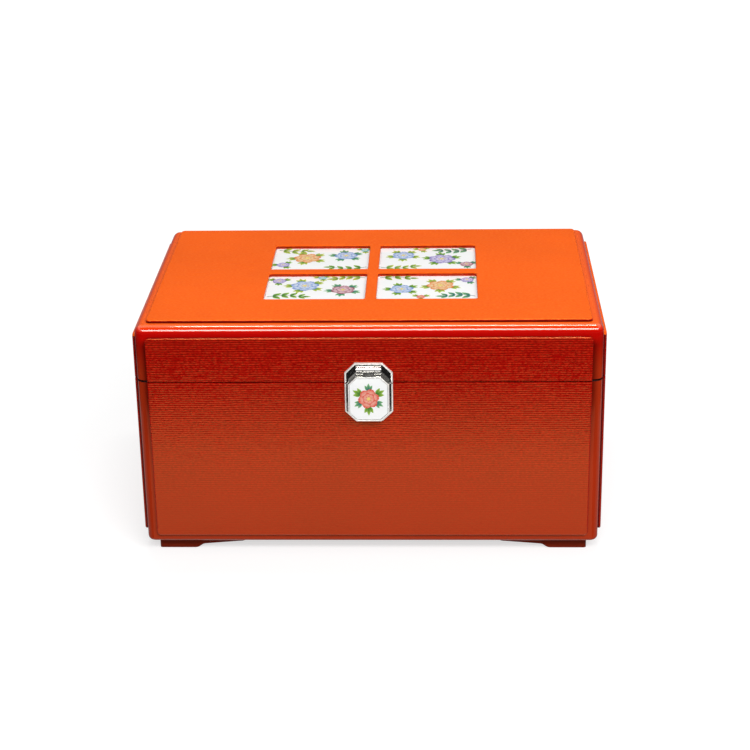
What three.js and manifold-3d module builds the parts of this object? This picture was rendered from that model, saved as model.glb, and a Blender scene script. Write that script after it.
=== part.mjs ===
// Jewelry chest in red lacquered wood: a box on bracket feet, a hinged lid with four enamel tiles,
// an octagonal flap clasp, a mirror inside the lid and a lift-out tray with ring rolls.
// Millimetres, +Z up, the front faces -Y. The origin is on the ground, under the middle of the outer box.

import * as THREE from 'three';
import { mergeVertices } from 'three/addons/utils/BufferGeometryUtils.js';
import Module from 'manifold-3d';

const wasm = await Module();
wasm.setup();

// Outer box
const WIDTH = 300;
const DEPTH = 200;
const BODY_HEIGHT = 116;
const LID_HEIGHT = 37.3;
const SEAM_GAP = 0.7;
const CORNER_RADIUS = 5.5;
const BOTTOM_EDGE_RADIUS = 3;
const TOP_EDGE_RADIUS = 5;

// Wood thicknesses
const WALL = 9;
const BOTTOM_BOARD = 7;
const LID_BOARD = 10;

// Raised fields on the four sides and on the lid
const FIELD_PROUD = 2.2;
const FIELD_MARGIN = 7;
const FIELD_BOTTOM_MARGIN = 5.7;
const FIELD_CORNER = 2.8;
const FIELD_EDGE = 0.9;

// Windows in the top field, and the enamel tiles let into the board below them
const WINDOW_WIDTH = 66.7;
const WINDOW_DEPTH = 51;
const WINDOW_CORNER = 1.6;
const MULLION_ACROSS = 7.6;
const MULLION_ALONG = 8.8;
const WINDOWS_BEHIND_MIDDLE = 1.35;
const TILE_THICKNESS = 2.5;
const TILE_LAP = 2;
const TILE_DROP = 0.3;

// Bracket feet
const FOOT_HEIGHT = 8;
const FOOT_INSET = 7.1;
const FOOT_THICKNESS = 7;
const FOOT_FLAT = 23.5;
const FOOT_OGEE = 8;
const FOOT_OGEE_RISE = 3;
const FOOT_TAPER = 22;
const FOOT_TAPER_RISE = 1.8;
const FOOT_END = 6;

// Linings, floor pad and the ledges that carry the tray
const LINING = 1.8;
const LIP_HEIGHT = 3.5;
const LIP_CLEARANCE = 0.5;
const PAD_THICKNESS = 3;
const PAD_EDGE = 1.2;
const LEDGE_WIDTH = 6;
const LEDGE_HEIGHT = 8;

// Mirror under the lid board
const MIRROR_THICKNESS = 3;
const MIRROR_FRAME_WIDTH = 16;
const MIRROR_FRAME_LIP = 2;
const MIRROR_LAP = 3;

// Lift-out tray
const TRAY_BELOW_SEAM = 5;
const TRAY_HEIGHT = 26;
const TRAY_CLEARANCE = 1;
const TRAY_FLOOR = 3;
const TRAY_WALL = 4;
const DIVIDER = 3;
const DIVIDER_BELOW_RIM = 4;
const SCOOP_WIDTH = 40;
const SCOOP_DEPTH = 9;
const RING_SECTION_WIDTH = 88;
const RIGHT_SECTION_WIDTH = 88;
const ROLL_COUNT = 4;
const ROLL_WIDTH = 16.4;
const ROLL_HEIGHT = 16.5;
const ROLL_GAP = 0.6;
const ROLL_END = 2;

// Butt hinges, let into the seam faces at the back
const HINGE_LENGTH = 26;
const HINGE_FROM_SIDE = 58;
const HINGE_AXIS_DEPTH = 2.8;
const HINGE_RADIUS = 2.2;
const HINGE_PIN_RADIUS = 0.9;
const HINGE_MIDDLE_KNUCKLE = 9.7;
const LEAF_WIDTH = 7;
const LEAF_THICKNESS = 1;
const STOP_ANGLE = 97;

// Octagonal clasp across the seam
const CLASP_HALF_WIDTH = 15.5;
const CLASP_ABOVE_SEAM = 13.6;
const CLASP_BELOW_SEAM = 26.2;
const CLASP_CHAMFER = 6.6;
const CLASP_BASE = 0.8;
const CLASP_RIM_WIDTH = 1;
const CLASP_RIM_HEIGHT = 1.3;
const FLAP_HALF_WIDTH = 13.25;
const FLAP_ABOVE_SEAM = 5.7;
const FLAP_CHAMFER = 5.3;
const FLAP_THICKNESS = 5;
const FLAP_WEB = 1.2;
const BEZEL_WIDTH = 1;
const PLAQUE_THICKNESS = 1.6;
const PLAQUE_SUNK = 0.4;
const BARREL_RADIUS = 1.8;
const BARREL_LENGTH = 15.5;
const BARREL_MIDDLE_KNUCKLE = 7.2;
const BARREL_ABOVE_SEAM = 10;
const BARREL_PIN_RADIUS = 0.8;
const MAGNET_RADIUS = 4;
const MAGNET_THICKNESS = 2;
const MAGNET_ABOVE_FLAP_END = 9;

// Clearances
const CLEARANCE = 0.3;
const PIN_CLEARANCE = 0.05;
const BEYOND = 2;

// Facets
const CORNER_SEGMENTS = 3;
const EDGE_SEGMENTS = 3;
const PIN_SEGMENTS = 24;

// Heights and half sizes that several pieces share
const seam = FOOT_HEIGHT + BODY_HEIGHT;
const bodyTop = seam - SEAM_GAP / 2;
const lidBottom = seam + SEAM_GAP / 2;
const lidTop = seam + LID_HEIGHT;
const boardBottom = lidTop - LID_BOARD;
const floorTop = FOOT_HEIGHT + BOTTOM_BOARD;
const halfWidth = WIDTH / 2;
const halfDepth = DEPTH / 2;
const fieldBottom = FOOT_HEIGHT + FIELD_BOTTOM_MARGIN;
const fieldTop = lidTop - FIELD_MARGIN;
const railThickness = WALL - LIP_CLEARANCE;
const liningHalfWidth = halfWidth - WALL - LINING;
const liningHalfDepth = halfDepth - WALL - LINING;
const liningTop = seam + LIP_HEIGHT;
const hingeAxisY = halfDepth + FIELD_PROUD - HINGE_AXIS_DEPTH;
const hingeX = halfWidth - HINGE_FROM_SIDE;
const claspFace = -(halfDepth + FIELD_PROUD);
const flapBack = claspFace - CLASP_BASE - CLEARANCE;
const flapFront = flapBack - FLAP_THICKNESS;
const outerBack = halfDepth + FIELD_PROUD;

const FINISHES = {
  lacquer: { color: 0xa81408, roughness: 0.25, metalness: 0 },
  cloth: { color: 0xb42a12, roughness: 0.4, metalness: 0 },
  foot: { color: 0x5a1e0f, roughness: 0.45, metalness: 0 },
  enamel: { color: 0xebe8f0, roughness: 0.12, metalness: 0 },
  silver: { color: 0xd8d6cf, roughness: 0.18, metalness: 1 },
  brass: { color: 0xc9a14e, roughness: 0.3, metalness: 1 },
  velvet: { color: 0x5e0d1a, roughness: 0.95, metalness: 0 },
  board: { color: 0x4a0b14, roughness: 0.9, metalness: 0 },
  mirror: { color: 0xdfe4e6, roughness: 0.03, metalness: 1 },
  steel: { color: 0x9a9a98, roughness: 0.35, metalness: 1 },
};

// Solids and meshes

function solidOf(geometry) {
  const bare = geometry.clone();
  bare.deleteAttribute('normal');
  bare.deleteAttribute('uv');
  const merged = mergeVertices(bare, 1e-4);
  const vertProperties = new Float32Array(merged.attributes.position.array);
  const triVerts = new Uint32Array(merged.index.array);
  return new wasm.Manifold(new wasm.Mesh({ numProp: 3, vertProperties, triVerts }));
}

function geometryOf(solid) {
  const mesh = solid.getMesh();
  const geometry = new THREE.BufferGeometry();
  geometry.setAttribute('position', new THREE.BufferAttribute(mesh.vertProperties, 3));
  geometry.setIndex(new THREE.BufferAttribute(mesh.triVerts, 1));
  geometry.computeVertexNormals();
  return geometry;
}

function piece(name, solid, finish) {
  const mesh = new THREE.Mesh(geometryOf(solid), new THREE.MeshStandardMaterial(finish));
  mesh.name = name;
  return mesh;
}

// A box between two values on each axis
function block(x, y, z) {
  const geometry = new THREE.BoxGeometry(x[1] - x[0], y[1] - y[0], z[1] - z[0]);
  geometry.translate((x[0] + x[1]) / 2, (y[0] + y[1]) / 2, (z[0] + z[1]) / 2);
  return solidOf(geometry);
}

// A horizontal slice through everything
function slice(low, high) {
  return block([-WIDTH, WIDTH], [-DEPTH, DEPTH], [low, high]);
}

function rodAlongX(radius, xLow, xHigh, y, z) {
  const geometry = new THREE.CylinderGeometry(radius, radius, xHigh - xLow, PIN_SEGMENTS);
  geometry.rotateZ(Math.PI / 2);
  geometry.translate((xLow + xHigh) / 2, y, z);
  return solidOf(geometry);
}

// An outline drawn in Y and Z, extruded along X
function extrudeAlongX(shape, xLow, xHigh) {
  const geometry = new THREE.ExtrudeGeometry(shape, {
    depth: xHigh - xLow,
    bevelEnabled: false,
    curveSegments: CORNER_SEGMENTS,
  });
  const toYZ = new THREE.Matrix4().makeBasis(
    new THREE.Vector3(0, 1, 0),
    new THREE.Vector3(0, 0, 1),
    new THREE.Vector3(1, 0, 0),
  );
  geometry.applyMatrix4(toYZ);
  geometry.translate(xLow, 0, 0);
  return solidOf(geometry);
}

// An outline drawn in X and Z on the chest's front, extruded outwards from one depth to another
function extrudeFront(shape, yBack, yFront) {
  const geometry = new THREE.ExtrudeGeometry(shape, {
    depth: yBack - yFront,
    bevelEnabled: false,
    curveSegments: CORNER_SEGMENTS,
  });
  geometry.rotateX(Math.PI / 2);
  geometry.translate(0, yBack, 0);
  return solidOf(geometry);
}

// A slab whose edges are rounded at both ends of its extrusion
function softSlab(shape, thickness, edge) {
  const geometry = new THREE.ExtrudeGeometry(shape, {
    depth: thickness - 2 * edge,
    bevelThickness: edge,
    bevelSize: edge,
    bevelOffset: -edge,
    bevelSegments: EDGE_SEGMENTS,
    curveSegments: CORNER_SEGMENTS,
  });
  geometry.translate(0, 0, edge);
  return geometry;
}

function addRoundedRectangle(path, x, y, width, height, radius) {
  const right = x + width / 2 - radius;
  const left = x - width / 2 + radius;
  const top = y + height / 2 - radius;
  const bottom = y - height / 2 + radius;
  path.absarc(right, top, radius, 0, Math.PI / 2);
  path.absarc(left, top, radius, Math.PI / 2, Math.PI);
  path.absarc(left, bottom, radius, Math.PI, 1.5 * Math.PI);
  path.absarc(right, bottom, radius, 1.5 * Math.PI, 2 * Math.PI);
  return path;
}

// An octagon about the chest's middle, in X and Z; an inset keeps all eight sides parallel
function octagon(half, low, high, chamfer, inset = 0) {
  const x = half - inset;
  const bottom = low + inset;
  const top = high - inset;
  const cut = chamfer - inset * (2 - Math.SQRT2);
  return new THREE.Shape([
    new THREE.Vector2(-x + cut, bottom),
    new THREE.Vector2(x - cut, bottom),
    new THREE.Vector2(x, bottom + cut),
    new THREE.Vector2(x, top - cut),
    new THREE.Vector2(x - cut, top),
    new THREE.Vector2(-x + cut, top),
    new THREE.Vector2(-x, top - cut),
    new THREE.Vector2(-x, bottom + cut),
  ]);
}

// Cuts at the back that the lid and the body share

// The V groove along the back: its two faces meet when the lid reaches its stop
function stopGroove() {
  const reach = HINGE_AXIS_DEPTH + BEYOND;
  const rise = reach * Math.tan(THREE.MathUtils.degToRad(STOP_ANGLE / 2));
  const outline = new THREE.Shape([
    new THREE.Vector2(hingeAxisY, seam),
    new THREE.Vector2(hingeAxisY + reach, seam - rise),
    new THREE.Vector2(hingeAxisY + reach, seam + rise),
  ]);
  return extrudeAlongX(outline, -WIDTH, WIDTH);
}

// The mortise of one hinge: thin under the leaves, deeper round the barrel
function hingeMortise(x) {
  const ends = [x - HINGE_LENGTH / 2 - CLEARANCE, x + HINGE_LENGTH / 2 + CLEARANCE];
  const leafHalf = SEAM_GAP / 2 + LEAF_THICKNESS;
  const barrelHalf = HINGE_RADIUS + CLEARANCE;
  const leafBed = block(
    ends,
    [hingeAxisY - LEAF_WIDTH - CLEARANCE, hingeAxisY + BEYOND],
    [seam - leafHalf, seam + leafHalf],
  );
  const barrelBed = block(
    ends,
    [hingeAxisY - barrelHalf, outerBack + BEYOND],
    [seam - barrelHalf, seam + barrelHalf],
  );
  return leafBed.add(barrelBed);
}

const backCuts = stopGroove().add(hingeMortise(-hingeX)).add(hingeMortise(hingeX));

// Carcass

// The outer shape of the whole width and depth, with rounded corners and rounded ends
function outerBlock(low, high, edge) {
  const outline = addRoundedRectangle(new THREE.Shape(), 0, 0, WIDTH, DEPTH, CORNER_RADIUS);
  const geometry = softSlab(outline, high - low, edge);
  geometry.translate(0, 0, low);
  return solidOf(geometry);
}

// Four walls cut from one ring: the front and back run the full width, the sides fit between them
function ringOfWalls(outer, thickness, low, high) {
  const x = halfWidth - thickness;
  const y = halfDepth - thickness;
  const ring = outer.intersect(slice(low, high)).subtract(block([-x, x], [-y, y], [low - 1, high + 1]));
  const across = [-WIDTH, WIDTH];
  const heights = [low - 1, high + 1];
  return {
    front: ring.intersect(block(across, [-DEPTH, -y], heights)),
    back: ring.intersect(block(across, [y, DEPTH], heights)).subtract(backCuts),
    left: ring.intersect(block([-WIDTH, -x], [-y, y], heights)),
    right: ring.intersect(block([x, WIDTH], [-y, y], heights)),
  };
}

function bodyWalls() {
  const outer = outerBlock(FOOT_HEIGHT, bodyTop + 2 * BOTTOM_EDGE_RADIUS, BOTTOM_EDGE_RADIUS);
  const walls = ringOfWalls(outer, WALL, FOOT_HEIGHT, bodyTop);
  return Object.entries(walls).map(([side, wall]) => piece(`wall_${side}`, wall, FINISHES.lacquer));
}

function lidShell() {
  const outer = outerBlock(lidBottom - 2 * TOP_EDGE_RADIUS, lidTop, TOP_EDGE_RADIUS);
  const rails = ringOfWalls(outer, railThickness, lidBottom, boardBottom);
  const pieces = Object.entries(rails).map(([side, rail]) => piece(`lid_rail_${side}`, rail, FINISHES.lacquer));
  let board = outer.intersect(slice(boardBottom, lidTop));
  for (const place of tilePlaces()) {
    board = board.subtract(tileBlock(place, TILE_LAP + CLEARANCE, lidTop + BEYOND));
  }
  pieces.push(piece('lid_board', board, FINISHES.lacquer));
  return pieces;
}

function bottomBoard() {
  const x = halfWidth - WALL;
  const y = halfDepth - WALL;
  return piece('bottom_board', block([-x, x], [-y, y], [FOOT_HEIGHT, floorTop]), FINISHES.lacquer);
}

// One bracket foot has two equal arms from its corner, along +X and +Y
function bracketFoot() {
  const ogeeEnd = FOOT_FLAT + FOOT_OGEE;
  const taperEnd = ogeeEnd + FOOT_TAPER;
  const taperTop = FOOT_OGEE_RISE + FOOT_TAPER_RISE;
  const outline = new THREE.Shape();
  outline.moveTo(0, 0);
  outline.lineTo(FOOT_FLAT, 0);
  outline.bezierCurveTo(
    FOOT_FLAT + FOOT_OGEE / 2,
    0,
    ogeeEnd - FOOT_OGEE / 2,
    FOOT_OGEE_RISE,
    ogeeEnd,
    FOOT_OGEE_RISE,
  );
  outline.lineTo(taperEnd, taperTop);
  outline.quadraticCurveTo(taperEnd + FOOT_END, taperTop, taperEnd + FOOT_END, FOOT_HEIGHT);
  outline.lineTo(0, FOOT_HEIGHT);
  const alongY = extrudeAlongX(outline, 0, FOOT_THICKNESS);
  const mirrored = new THREE.ExtrudeGeometry(outline, {
    depth: FOOT_THICKNESS,
    bevelEnabled: false,
    curveSegments: CORNER_SEGMENTS,
  });
  mirrored.rotateX(Math.PI / 2);
  mirrored.translate(0, FOOT_THICKNESS, 0);
  return alongY.add(solidOf(mirrored));
}

function feet() {
  const x = halfWidth - FOOT_INSET;
  const y = halfDepth - FOOT_INSET;
  const corners = [
    ['front_left', -x, -y],
    ['front_right', x, -y],
    ['back_right', x, y],
    ['back_left', -x, y],
  ];
  const foot = bracketFoot();
  return corners.map(([corner, footX, footY], index) => {
    const mesh = piece(`foot_${corner}`, foot, FINISHES.foot);
    mesh.position.set(footX, footY, 0);
    mesh.rotation.z = index * Math.PI / 2;
    return mesh;
  });
}

// Raised fields

// One field for a side of the chest, before the seam cuts it: quarter turns go front, right, back, left
function sideField(sideLength, faceDistance, quarterTurns) {
  const width = sideLength - 2 * FIELD_MARGIN;
  const height = fieldTop - fieldBottom;
  const middle = (fieldTop + fieldBottom) / 2;
  const outline = addRoundedRectangle(new THREE.Shape(), 0, middle, width, height, FIELD_CORNER);
  const geometry = softSlab(outline, 2 * FIELD_PROUD, FIELD_EDGE);
  geometry.translate(0, 0, -FIELD_PROUD);
  geometry.rotateX(Math.PI / 2);
  const inner = block([-WIDTH, WIDTH], [0, DEPTH], [0, 2 * lidTop]);
  const front = geometryOf(solidOf(geometry).subtract(inner));
  front.translate(0, -faceDistance, 0);
  front.rotateZ(quarterTurns * Math.PI / 2);
  return solidOf(front);
}

function sideFields() {
  const blanks = {
    front: sideField(WIDTH, halfDepth, 0),
    right: sideField(DEPTH, halfWidth, 1),
    back: sideField(WIDTH, halfDepth, 2).subtract(backCuts),
    left: sideField(DEPTH, halfWidth, 3),
  };
  const lower = [];
  const upper = [];
  for (const [side, blank] of Object.entries(blanks)) {
    lower.push(piece(`field_${side}`, blank.intersect(slice(0, bodyTop)), FINISHES.cloth));
    upper.push(piece(`lid_field_${side}`, blank.intersect(slice(lidBottom, lidTop)), FINISHES.cloth));
  }
  return { lower, upper };
}

function tilePlaces() {
  const x = (WINDOW_WIDTH + MULLION_ACROSS) / 2;
  const y = (WINDOW_DEPTH + MULLION_ALONG) / 2;
  return [
    { name: 'front_left', x: -x, y: WINDOWS_BEHIND_MIDDLE - y },
    { name: 'front_right', x, y: WINDOWS_BEHIND_MIDDLE - y },
    { name: 'back_left', x: -x, y: WINDOWS_BEHIND_MIDDLE + y },
    { name: 'back_right', x, y: WINDOWS_BEHIND_MIDDLE + y },
  ];
}

// A block under one window, from the tile's bed up to a given height
function tileBlock(place, lap, high) {
  const x = WINDOW_WIDTH / 2 + lap;
  const y = WINDOW_DEPTH / 2 + lap;
  const low = lidTop - TILE_DROP - TILE_THICKNESS;
  return block([place.x - x, place.x + x], [place.y - y, place.y + y], [low, high]);
}

function tiles() {
  return tilePlaces().map((place) => {
    const tile = tileBlock(place, TILE_LAP, lidTop - TILE_DROP);
    return piece(`tile_${place.name}`, tile, FINISHES.enamel);
  });
}

function topField() {
  const width = WIDTH - 2 * FIELD_MARGIN;
  const depth = DEPTH - 2 * FIELD_MARGIN;
  const outline = addRoundedRectangle(new THREE.Shape(), 0, 0, width, depth, FIELD_CORNER);
  for (const place of tilePlaces()) {
    const hole = new THREE.Path();
    addRoundedRectangle(hole, place.x, place.y, WINDOW_WIDTH, WINDOW_DEPTH, WINDOW_CORNER);
    outline.holes.push(hole);
  }
  const geometry = softSlab(outline, 2 * FIELD_PROUD, FIELD_EDGE);
  geometry.translate(0, 0, lidTop - FIELD_PROUD);
  return piece('lid_field_top', solidOf(geometry).subtract(slice(0, lidTop)), FINISHES.cloth);
}

// Inside of the body and the lid

function linings() {
  const outerX = halfWidth - WALL;
  const outerY = halfDepth - WALL;
  const heights = [floorTop, liningTop];
  const panels = {
    front: block([-outerX, outerX], [-outerY, -liningHalfDepth], heights),
    back: block([-outerX, outerX], [liningHalfDepth, outerY], heights),
    left: block([-outerX, -liningHalfWidth], [-liningHalfDepth, liningHalfDepth], heights),
    right: block([liningHalfWidth, outerX], [-liningHalfDepth, liningHalfDepth], heights),
  };
  return Object.entries(panels).map(([side, panel]) => piece(`lining_${side}`, panel, FINISHES.velvet));
}

function floorPad() {
  const width = 2 * (liningHalfWidth - CLEARANCE);
  const depth = 2 * (liningHalfDepth - CLEARANCE);
  const outline = addRoundedRectangle(new THREE.Shape(), 0, 0, width, depth, 2 * PAD_EDGE);
  const geometry = softSlab(outline, PAD_THICKNESS, PAD_EDGE);
  geometry.translate(0, 0, floorTop);
  return piece('floor_pad', solidOf(geometry), FINISHES.velvet);
}

function trayLedges() {
  const high = seam - TRAY_BELOW_SEAM - TRAY_HEIGHT;
  const y = liningHalfDepth - CLEARANCE;
  const inner = liningHalfWidth - LEDGE_WIDTH;
  const heights = [high - LEDGE_HEIGHT, high];
  return [
    piece('tray_ledge_left', block([-liningHalfWidth, -inner], [-y, y], heights), FINISHES.board),
    piece('tray_ledge_right', block([inner, liningHalfWidth], [-y, y], heights), FINISHES.board),
  ];
}

function mirrorPieces() {
  const outerX = halfWidth - railThickness - CLEARANCE;
  const outerY = halfDepth - railThickness - CLEARANCE;
  const sightX = outerX - MIRROR_FRAME_WIDTH;
  const sightY = outerY - MIRROR_FRAME_WIDTH;
  const glassX = sightX + MIRROR_LAP;
  const glassY = sightY + MIRROR_LAP;
  const glassLow = boardBottom - MIRROR_THICKNESS;
  const frameLow = glassLow - MIRROR_FRAME_LIP;
  const rebateX = glassX + CLEARANCE;
  const rebateY = glassY + CLEARANCE;
  const frame = block([-outerX, outerX], [-outerY, outerY], [frameLow, boardBottom])
    .subtract(block([-rebateX, rebateX], [-rebateY, rebateY], [glassLow, boardBottom + BEYOND]))
    .subtract(block([-sightX, sightX], [-sightY, sightY], [frameLow - BEYOND, boardBottom + BEYOND]));
  const glass = block([-glassX, glassX], [-glassY, glassY], [glassLow, boardBottom]);
  return [piece('mirror_frame', frame, FINISHES.velvet), piece('mirror', glass, FINISHES.mirror)];
}

// Tray

function trayPieces() {
  const rim = seam - TRAY_BELOW_SEAM;
  const low = rim - TRAY_HEIGHT;
  const floor = low + TRAY_FLOOR;
  const outerX = liningHalfWidth - TRAY_CLEARANCE;
  const outerY = liningHalfDepth - TRAY_CLEARANCE;
  const innerX = outerX - TRAY_WALL;
  const innerY = outerY - TRAY_WALL;
  const heights = [floor, rim];
  const ringX = -innerX + RING_SECTION_WIDTH;
  const rightX = innerX - RIGHT_SECTION_WIDTH;
  const ringY = -innerY + ROLL_GAP + ROLL_COUNT * (ROLL_WIDTH + ROLL_GAP);
  const dividerHeights = [floor, rim - DIVIDER_BELOW_RIM];
  const scoop = fingerScoop(rim);
  const parts = {
    tray_floor: block([-outerX, outerX], [-outerY, outerY], [low, floor]),
    tray_wall_front: block([-outerX, outerX], [-outerY, -innerY], heights),
    tray_wall_back: block([-outerX, outerX], [innerY, outerY], heights),
    tray_wall_left: block([-outerX, -innerX], [-innerY, innerY], heights).subtract(scoop),
    tray_wall_right: block([innerX, outerX], [-innerY, innerY], heights).subtract(scoop),
    tray_divider_left: block([ringX, ringX + DIVIDER], [-innerY, innerY], dividerHeights),
    tray_divider_right: block([rightX - DIVIDER, rightX], [-innerY, innerY], dividerHeights),
    tray_divider_cross: block([-innerX, ringX], [ringY, ringY + DIVIDER], dividerHeights),
  };
  const pieces = Object.entries(parts).map(([name, part]) => piece(name, part, FINISHES.board));
  for (let index = 0; index < ROLL_COUNT; index += 1) {
    const y = -innerY + ROLL_GAP + ROLL_WIDTH / 2 + index * (ROLL_WIDTH + ROLL_GAP);
    const roll = ringRoll(-innerX + CLEARANCE, ringX - CLEARANCE, y, floor);
    pieces.push(piece(`ring_roll_${index + 1}`, roll, FINISHES.velvet));
  }
  return pieces;
}

// A round-bottomed notch for the fingers in the rim of both tray ends
function fingerScoop(rim) {
  const half = SCOOP_WIDTH / 2;
  const outline = new THREE.Shape();
  outline.moveTo(-half, rim + BEYOND);
  outline.lineTo(-half, rim);
  outline.quadraticCurveTo(-half / 2, rim, -half / 2, rim - SCOOP_DEPTH / 2);
  outline.quadraticCurveTo(-half / 2, rim - SCOOP_DEPTH, 0, rim - SCOOP_DEPTH);
  outline.quadraticCurveTo(half / 2, rim - SCOOP_DEPTH, half / 2, rim - SCOOP_DEPTH / 2);
  outline.quadraticCurveTo(half / 2, rim, half, rim);
  outline.lineTo(half, rim + BEYOND);
  return extrudeAlongX(outline, -WIDTH, WIDTH);
}

// A padded roll for rings, flat below and half round above, with softened ends
function ringRoll(xLow, xHigh, y, floor) {
  const radius = ROLL_WIDTH / 2;
  const outline = new THREE.Shape();
  outline.moveTo(-radius, 0);
  outline.lineTo(radius, 0);
  outline.absarc(0, ROLL_HEIGHT - radius, radius, 0, Math.PI);
  const geometry = softSlab(outline, xHigh - xLow, ROLL_END);
  geometry.rotateX(Math.PI / 2);
  geometry.rotateZ(Math.PI / 2);
  geometry.translate(xLow, y, floor);
  return solidOf(geometry);
}

// Hinges

// One leaf with its knuckles; side is -1 for the body's leaf and +1 for the lid's
function hingeLeaf(x, side) {
  const half = HINGE_LENGTH / 2;
  const middle = HINGE_MIDDLE_KNUCKLE / 2;
  const outerSpans = [
    [x - half, x - middle - CLEARANCE],
    [x + middle + CLEARANCE, x + half],
  ];
  const middleSpans = [[x - middle, x + middle]];
  const ownSpans = side < 0 ? outerSpans : middleSpans;
  const otherSpans = side < 0 ? middleSpans : outerSpans;
  const inner = seam + side * SEAM_GAP / 2;
  const outer = inner + side * LEAF_THICKNESS;
  const heights = [Math.min(inner, outer), Math.max(inner, outer)];
  let leaf = block([x - half, x + half], [hingeAxisY - LEAF_WIDTH, hingeAxisY], heights);
  for (const [low, high] of otherSpans) {
    const room = [hingeAxisY - HINGE_RADIUS - CLEARANCE, hingeAxisY + BEYOND];
    leaf = leaf.subtract(block([low - CLEARANCE, high + CLEARANCE], room, [seam - BEYOND, seam + BEYOND]));
  }
  for (const [low, high] of ownSpans) {
    leaf = leaf.add(rodAlongX(HINGE_RADIUS, low, high, hingeAxisY, seam));
  }
  const bore = HINGE_PIN_RADIUS + PIN_CLEARANCE;
  return leaf.subtract(rodAlongX(bore, x - HINGE_LENGTH, x + HINGE_LENGTH, hingeAxisY, seam));
}

function hinges() {
  const body = [];
  const lid = [];
  for (const [side, x] of [['left', -hingeX], ['right', hingeX]]) {
    const pin = rodAlongX(HINGE_PIN_RADIUS, x - HINGE_LENGTH / 2, x + HINGE_LENGTH / 2, hingeAxisY, seam);
    body.push(piece(`hinge_${side}_body_leaf`, hingeLeaf(x, -1), FINISHES.brass));
    body.push(piece(`hinge_${side}_pin`, pin, FINISHES.brass));
    lid.push(piece(`hinge_${side}_lid_leaf`, hingeLeaf(x, 1), FINISHES.brass));
  }
  return { body, lid };
}

// Clasp

function claspPieces() {
  const low = seam - CLASP_BELOW_SEAM;
  const high = seam + CLASP_ABOVE_SEAM;
  const baseFront = claspFace - CLASP_BASE;
  const rimFront = baseFront - CLASP_RIM_HEIGHT;
  const outline = octagon(CLASP_HALF_WIDTH, low, high, CLASP_CHAMFER);
  const recess = octagon(CLASP_HALF_WIDTH, low, high, CLASP_CHAMFER, CLASP_RIM_WIDTH);
  const dish = extrudeFront(outline, claspFace, rimFront)
    .subtract(extrudeFront(recess, baseFront, rimFront - BEYOND));

  const barrelY = baseFront - CLEARANCE - BARREL_RADIUS;
  const barrelZ = seam + BARREL_ABOVE_SEAM;
  const half = BARREL_LENGTH / 2;
  const middle = BARREL_MIDDLE_KNUCKLE / 2;
  const bore = rodAlongX(BARREL_PIN_RADIUS + PIN_CLEARANCE, -WIDTH, WIDTH, barrelY, barrelZ);
  let lidPlate = dish.intersect(slice(lidBottom, lidTop));
  for (const [start, end] of [[-half, -middle - CLEARANCE], [middle + CLEARANCE, half]]) {
    const stem = block(
      [start, end],
      [barrelY, baseFront + CLASP_BASE / 2],
      [barrelZ - BARREL_RADIUS / 2, barrelZ + BARREL_RADIUS / 2],
    );
    lidPlate = lidPlate.add(rodAlongX(BARREL_RADIUS, start, end, barrelY, barrelZ)).add(stem);
  }
  lidPlate = lidPlate.subtract(bore);

  const flapLow = low + CLASP_RIM_WIDTH + CLEARANCE;
  const flapHigh = seam + FLAP_ABOVE_SEAM;
  const flapOutline = octagon(FLAP_HALF_WIDTH, flapLow, flapHigh, FLAP_CHAMFER);
  const plaqueOutline = octagon(FLAP_HALF_WIDTH, flapLow, flapHigh, FLAP_CHAMFER, BEZEL_WIDTH + CLEARANCE);
  const bedOutline = octagon(FLAP_HALF_WIDTH, flapLow, flapHigh, FLAP_CHAMFER, BEZEL_WIDTH);
  const plaqueFront = flapFront + PLAQUE_SUNK;
  const plaqueBack = plaqueFront + PLAQUE_THICKNESS;
  const web = block([-middle, middle], [flapBack - FLAP_WEB, flapBack], [flapHigh - BEYOND, barrelZ]);
  const magnetZ = flapLow + MAGNET_ABOVE_FLAP_END;
  const magnetFront = flapBack - MAGNET_THICKNESS;
  const flap = extrudeFront(flapOutline, flapBack, flapFront)
    .subtract(extrudeFront(bedOutline, plaqueBack, flapFront - BEYOND))
    .subtract(disc(MAGNET_RADIUS + PIN_CLEARANCE, magnetFront, flapBack + BEYOND, magnetZ))
    .add(web)
    .add(rodAlongX(BARREL_RADIUS, -middle, middle, barrelY, barrelZ))
    .subtract(bore);

  const lid = [
    piece('clasp_lid_plate', lidPlate, FINISHES.silver),
    piece('clasp_pin', rodAlongX(BARREL_PIN_RADIUS, -half, half, barrelY, barrelZ), FINISHES.silver),
  ];
  const body = [piece('clasp_body_plate', dish.intersect(slice(0, bodyTop)), FINISHES.silver)];
  const swinging = [
    piece('clasp_flap', flap, FINISHES.silver),
    piece('clasp_plaque', extrudeFront(plaqueOutline, plaqueBack, plaqueFront), FINISHES.enamel),
    piece('clasp_magnet', disc(MAGNET_RADIUS, magnetFront, flapBack, magnetZ), FINISHES.steel),
  ];
  return { body, lid, swinging };
}

// A round disc that faces the front
function disc(radius, yFront, yBack, z) {
  const geometry = new THREE.CylinderGeometry(radius, radius, yBack - yFront, PIN_SEGMENTS);
  geometry.translate(0, (yFront + yBack) / 2, z);
  return solidOf(geometry);
}

// Assembly

function groupOf(name, pieces) {
  const group = new THREE.Group();
  group.name = name;
  group.add(...pieces);
  return group;
}

const fields = sideFields();
const hinge = hinges();
const clasp = claspPieces();

const body = groupOf('body', [
  ...feet(),
  ...bodyWalls(),
  bottomBoard(),
  ...fields.lower,
  ...linings(),
  floorPad(),
  ...trayLedges(),
  ...hinge.body,
  ...clasp.body,
]);
const lid = groupOf('lid', [
  ...lidShell(),
  ...fields.upper,
  topField(),
  ...tiles(),
  ...mirrorPieces(),
  ...hinge.lid,
  ...clasp.lid,
  groupOf('flap', clasp.swinging),
]);
const chest = groupOf('jewelry_chest', [body, lid, groupOf('tray', trayPieces())]);

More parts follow.
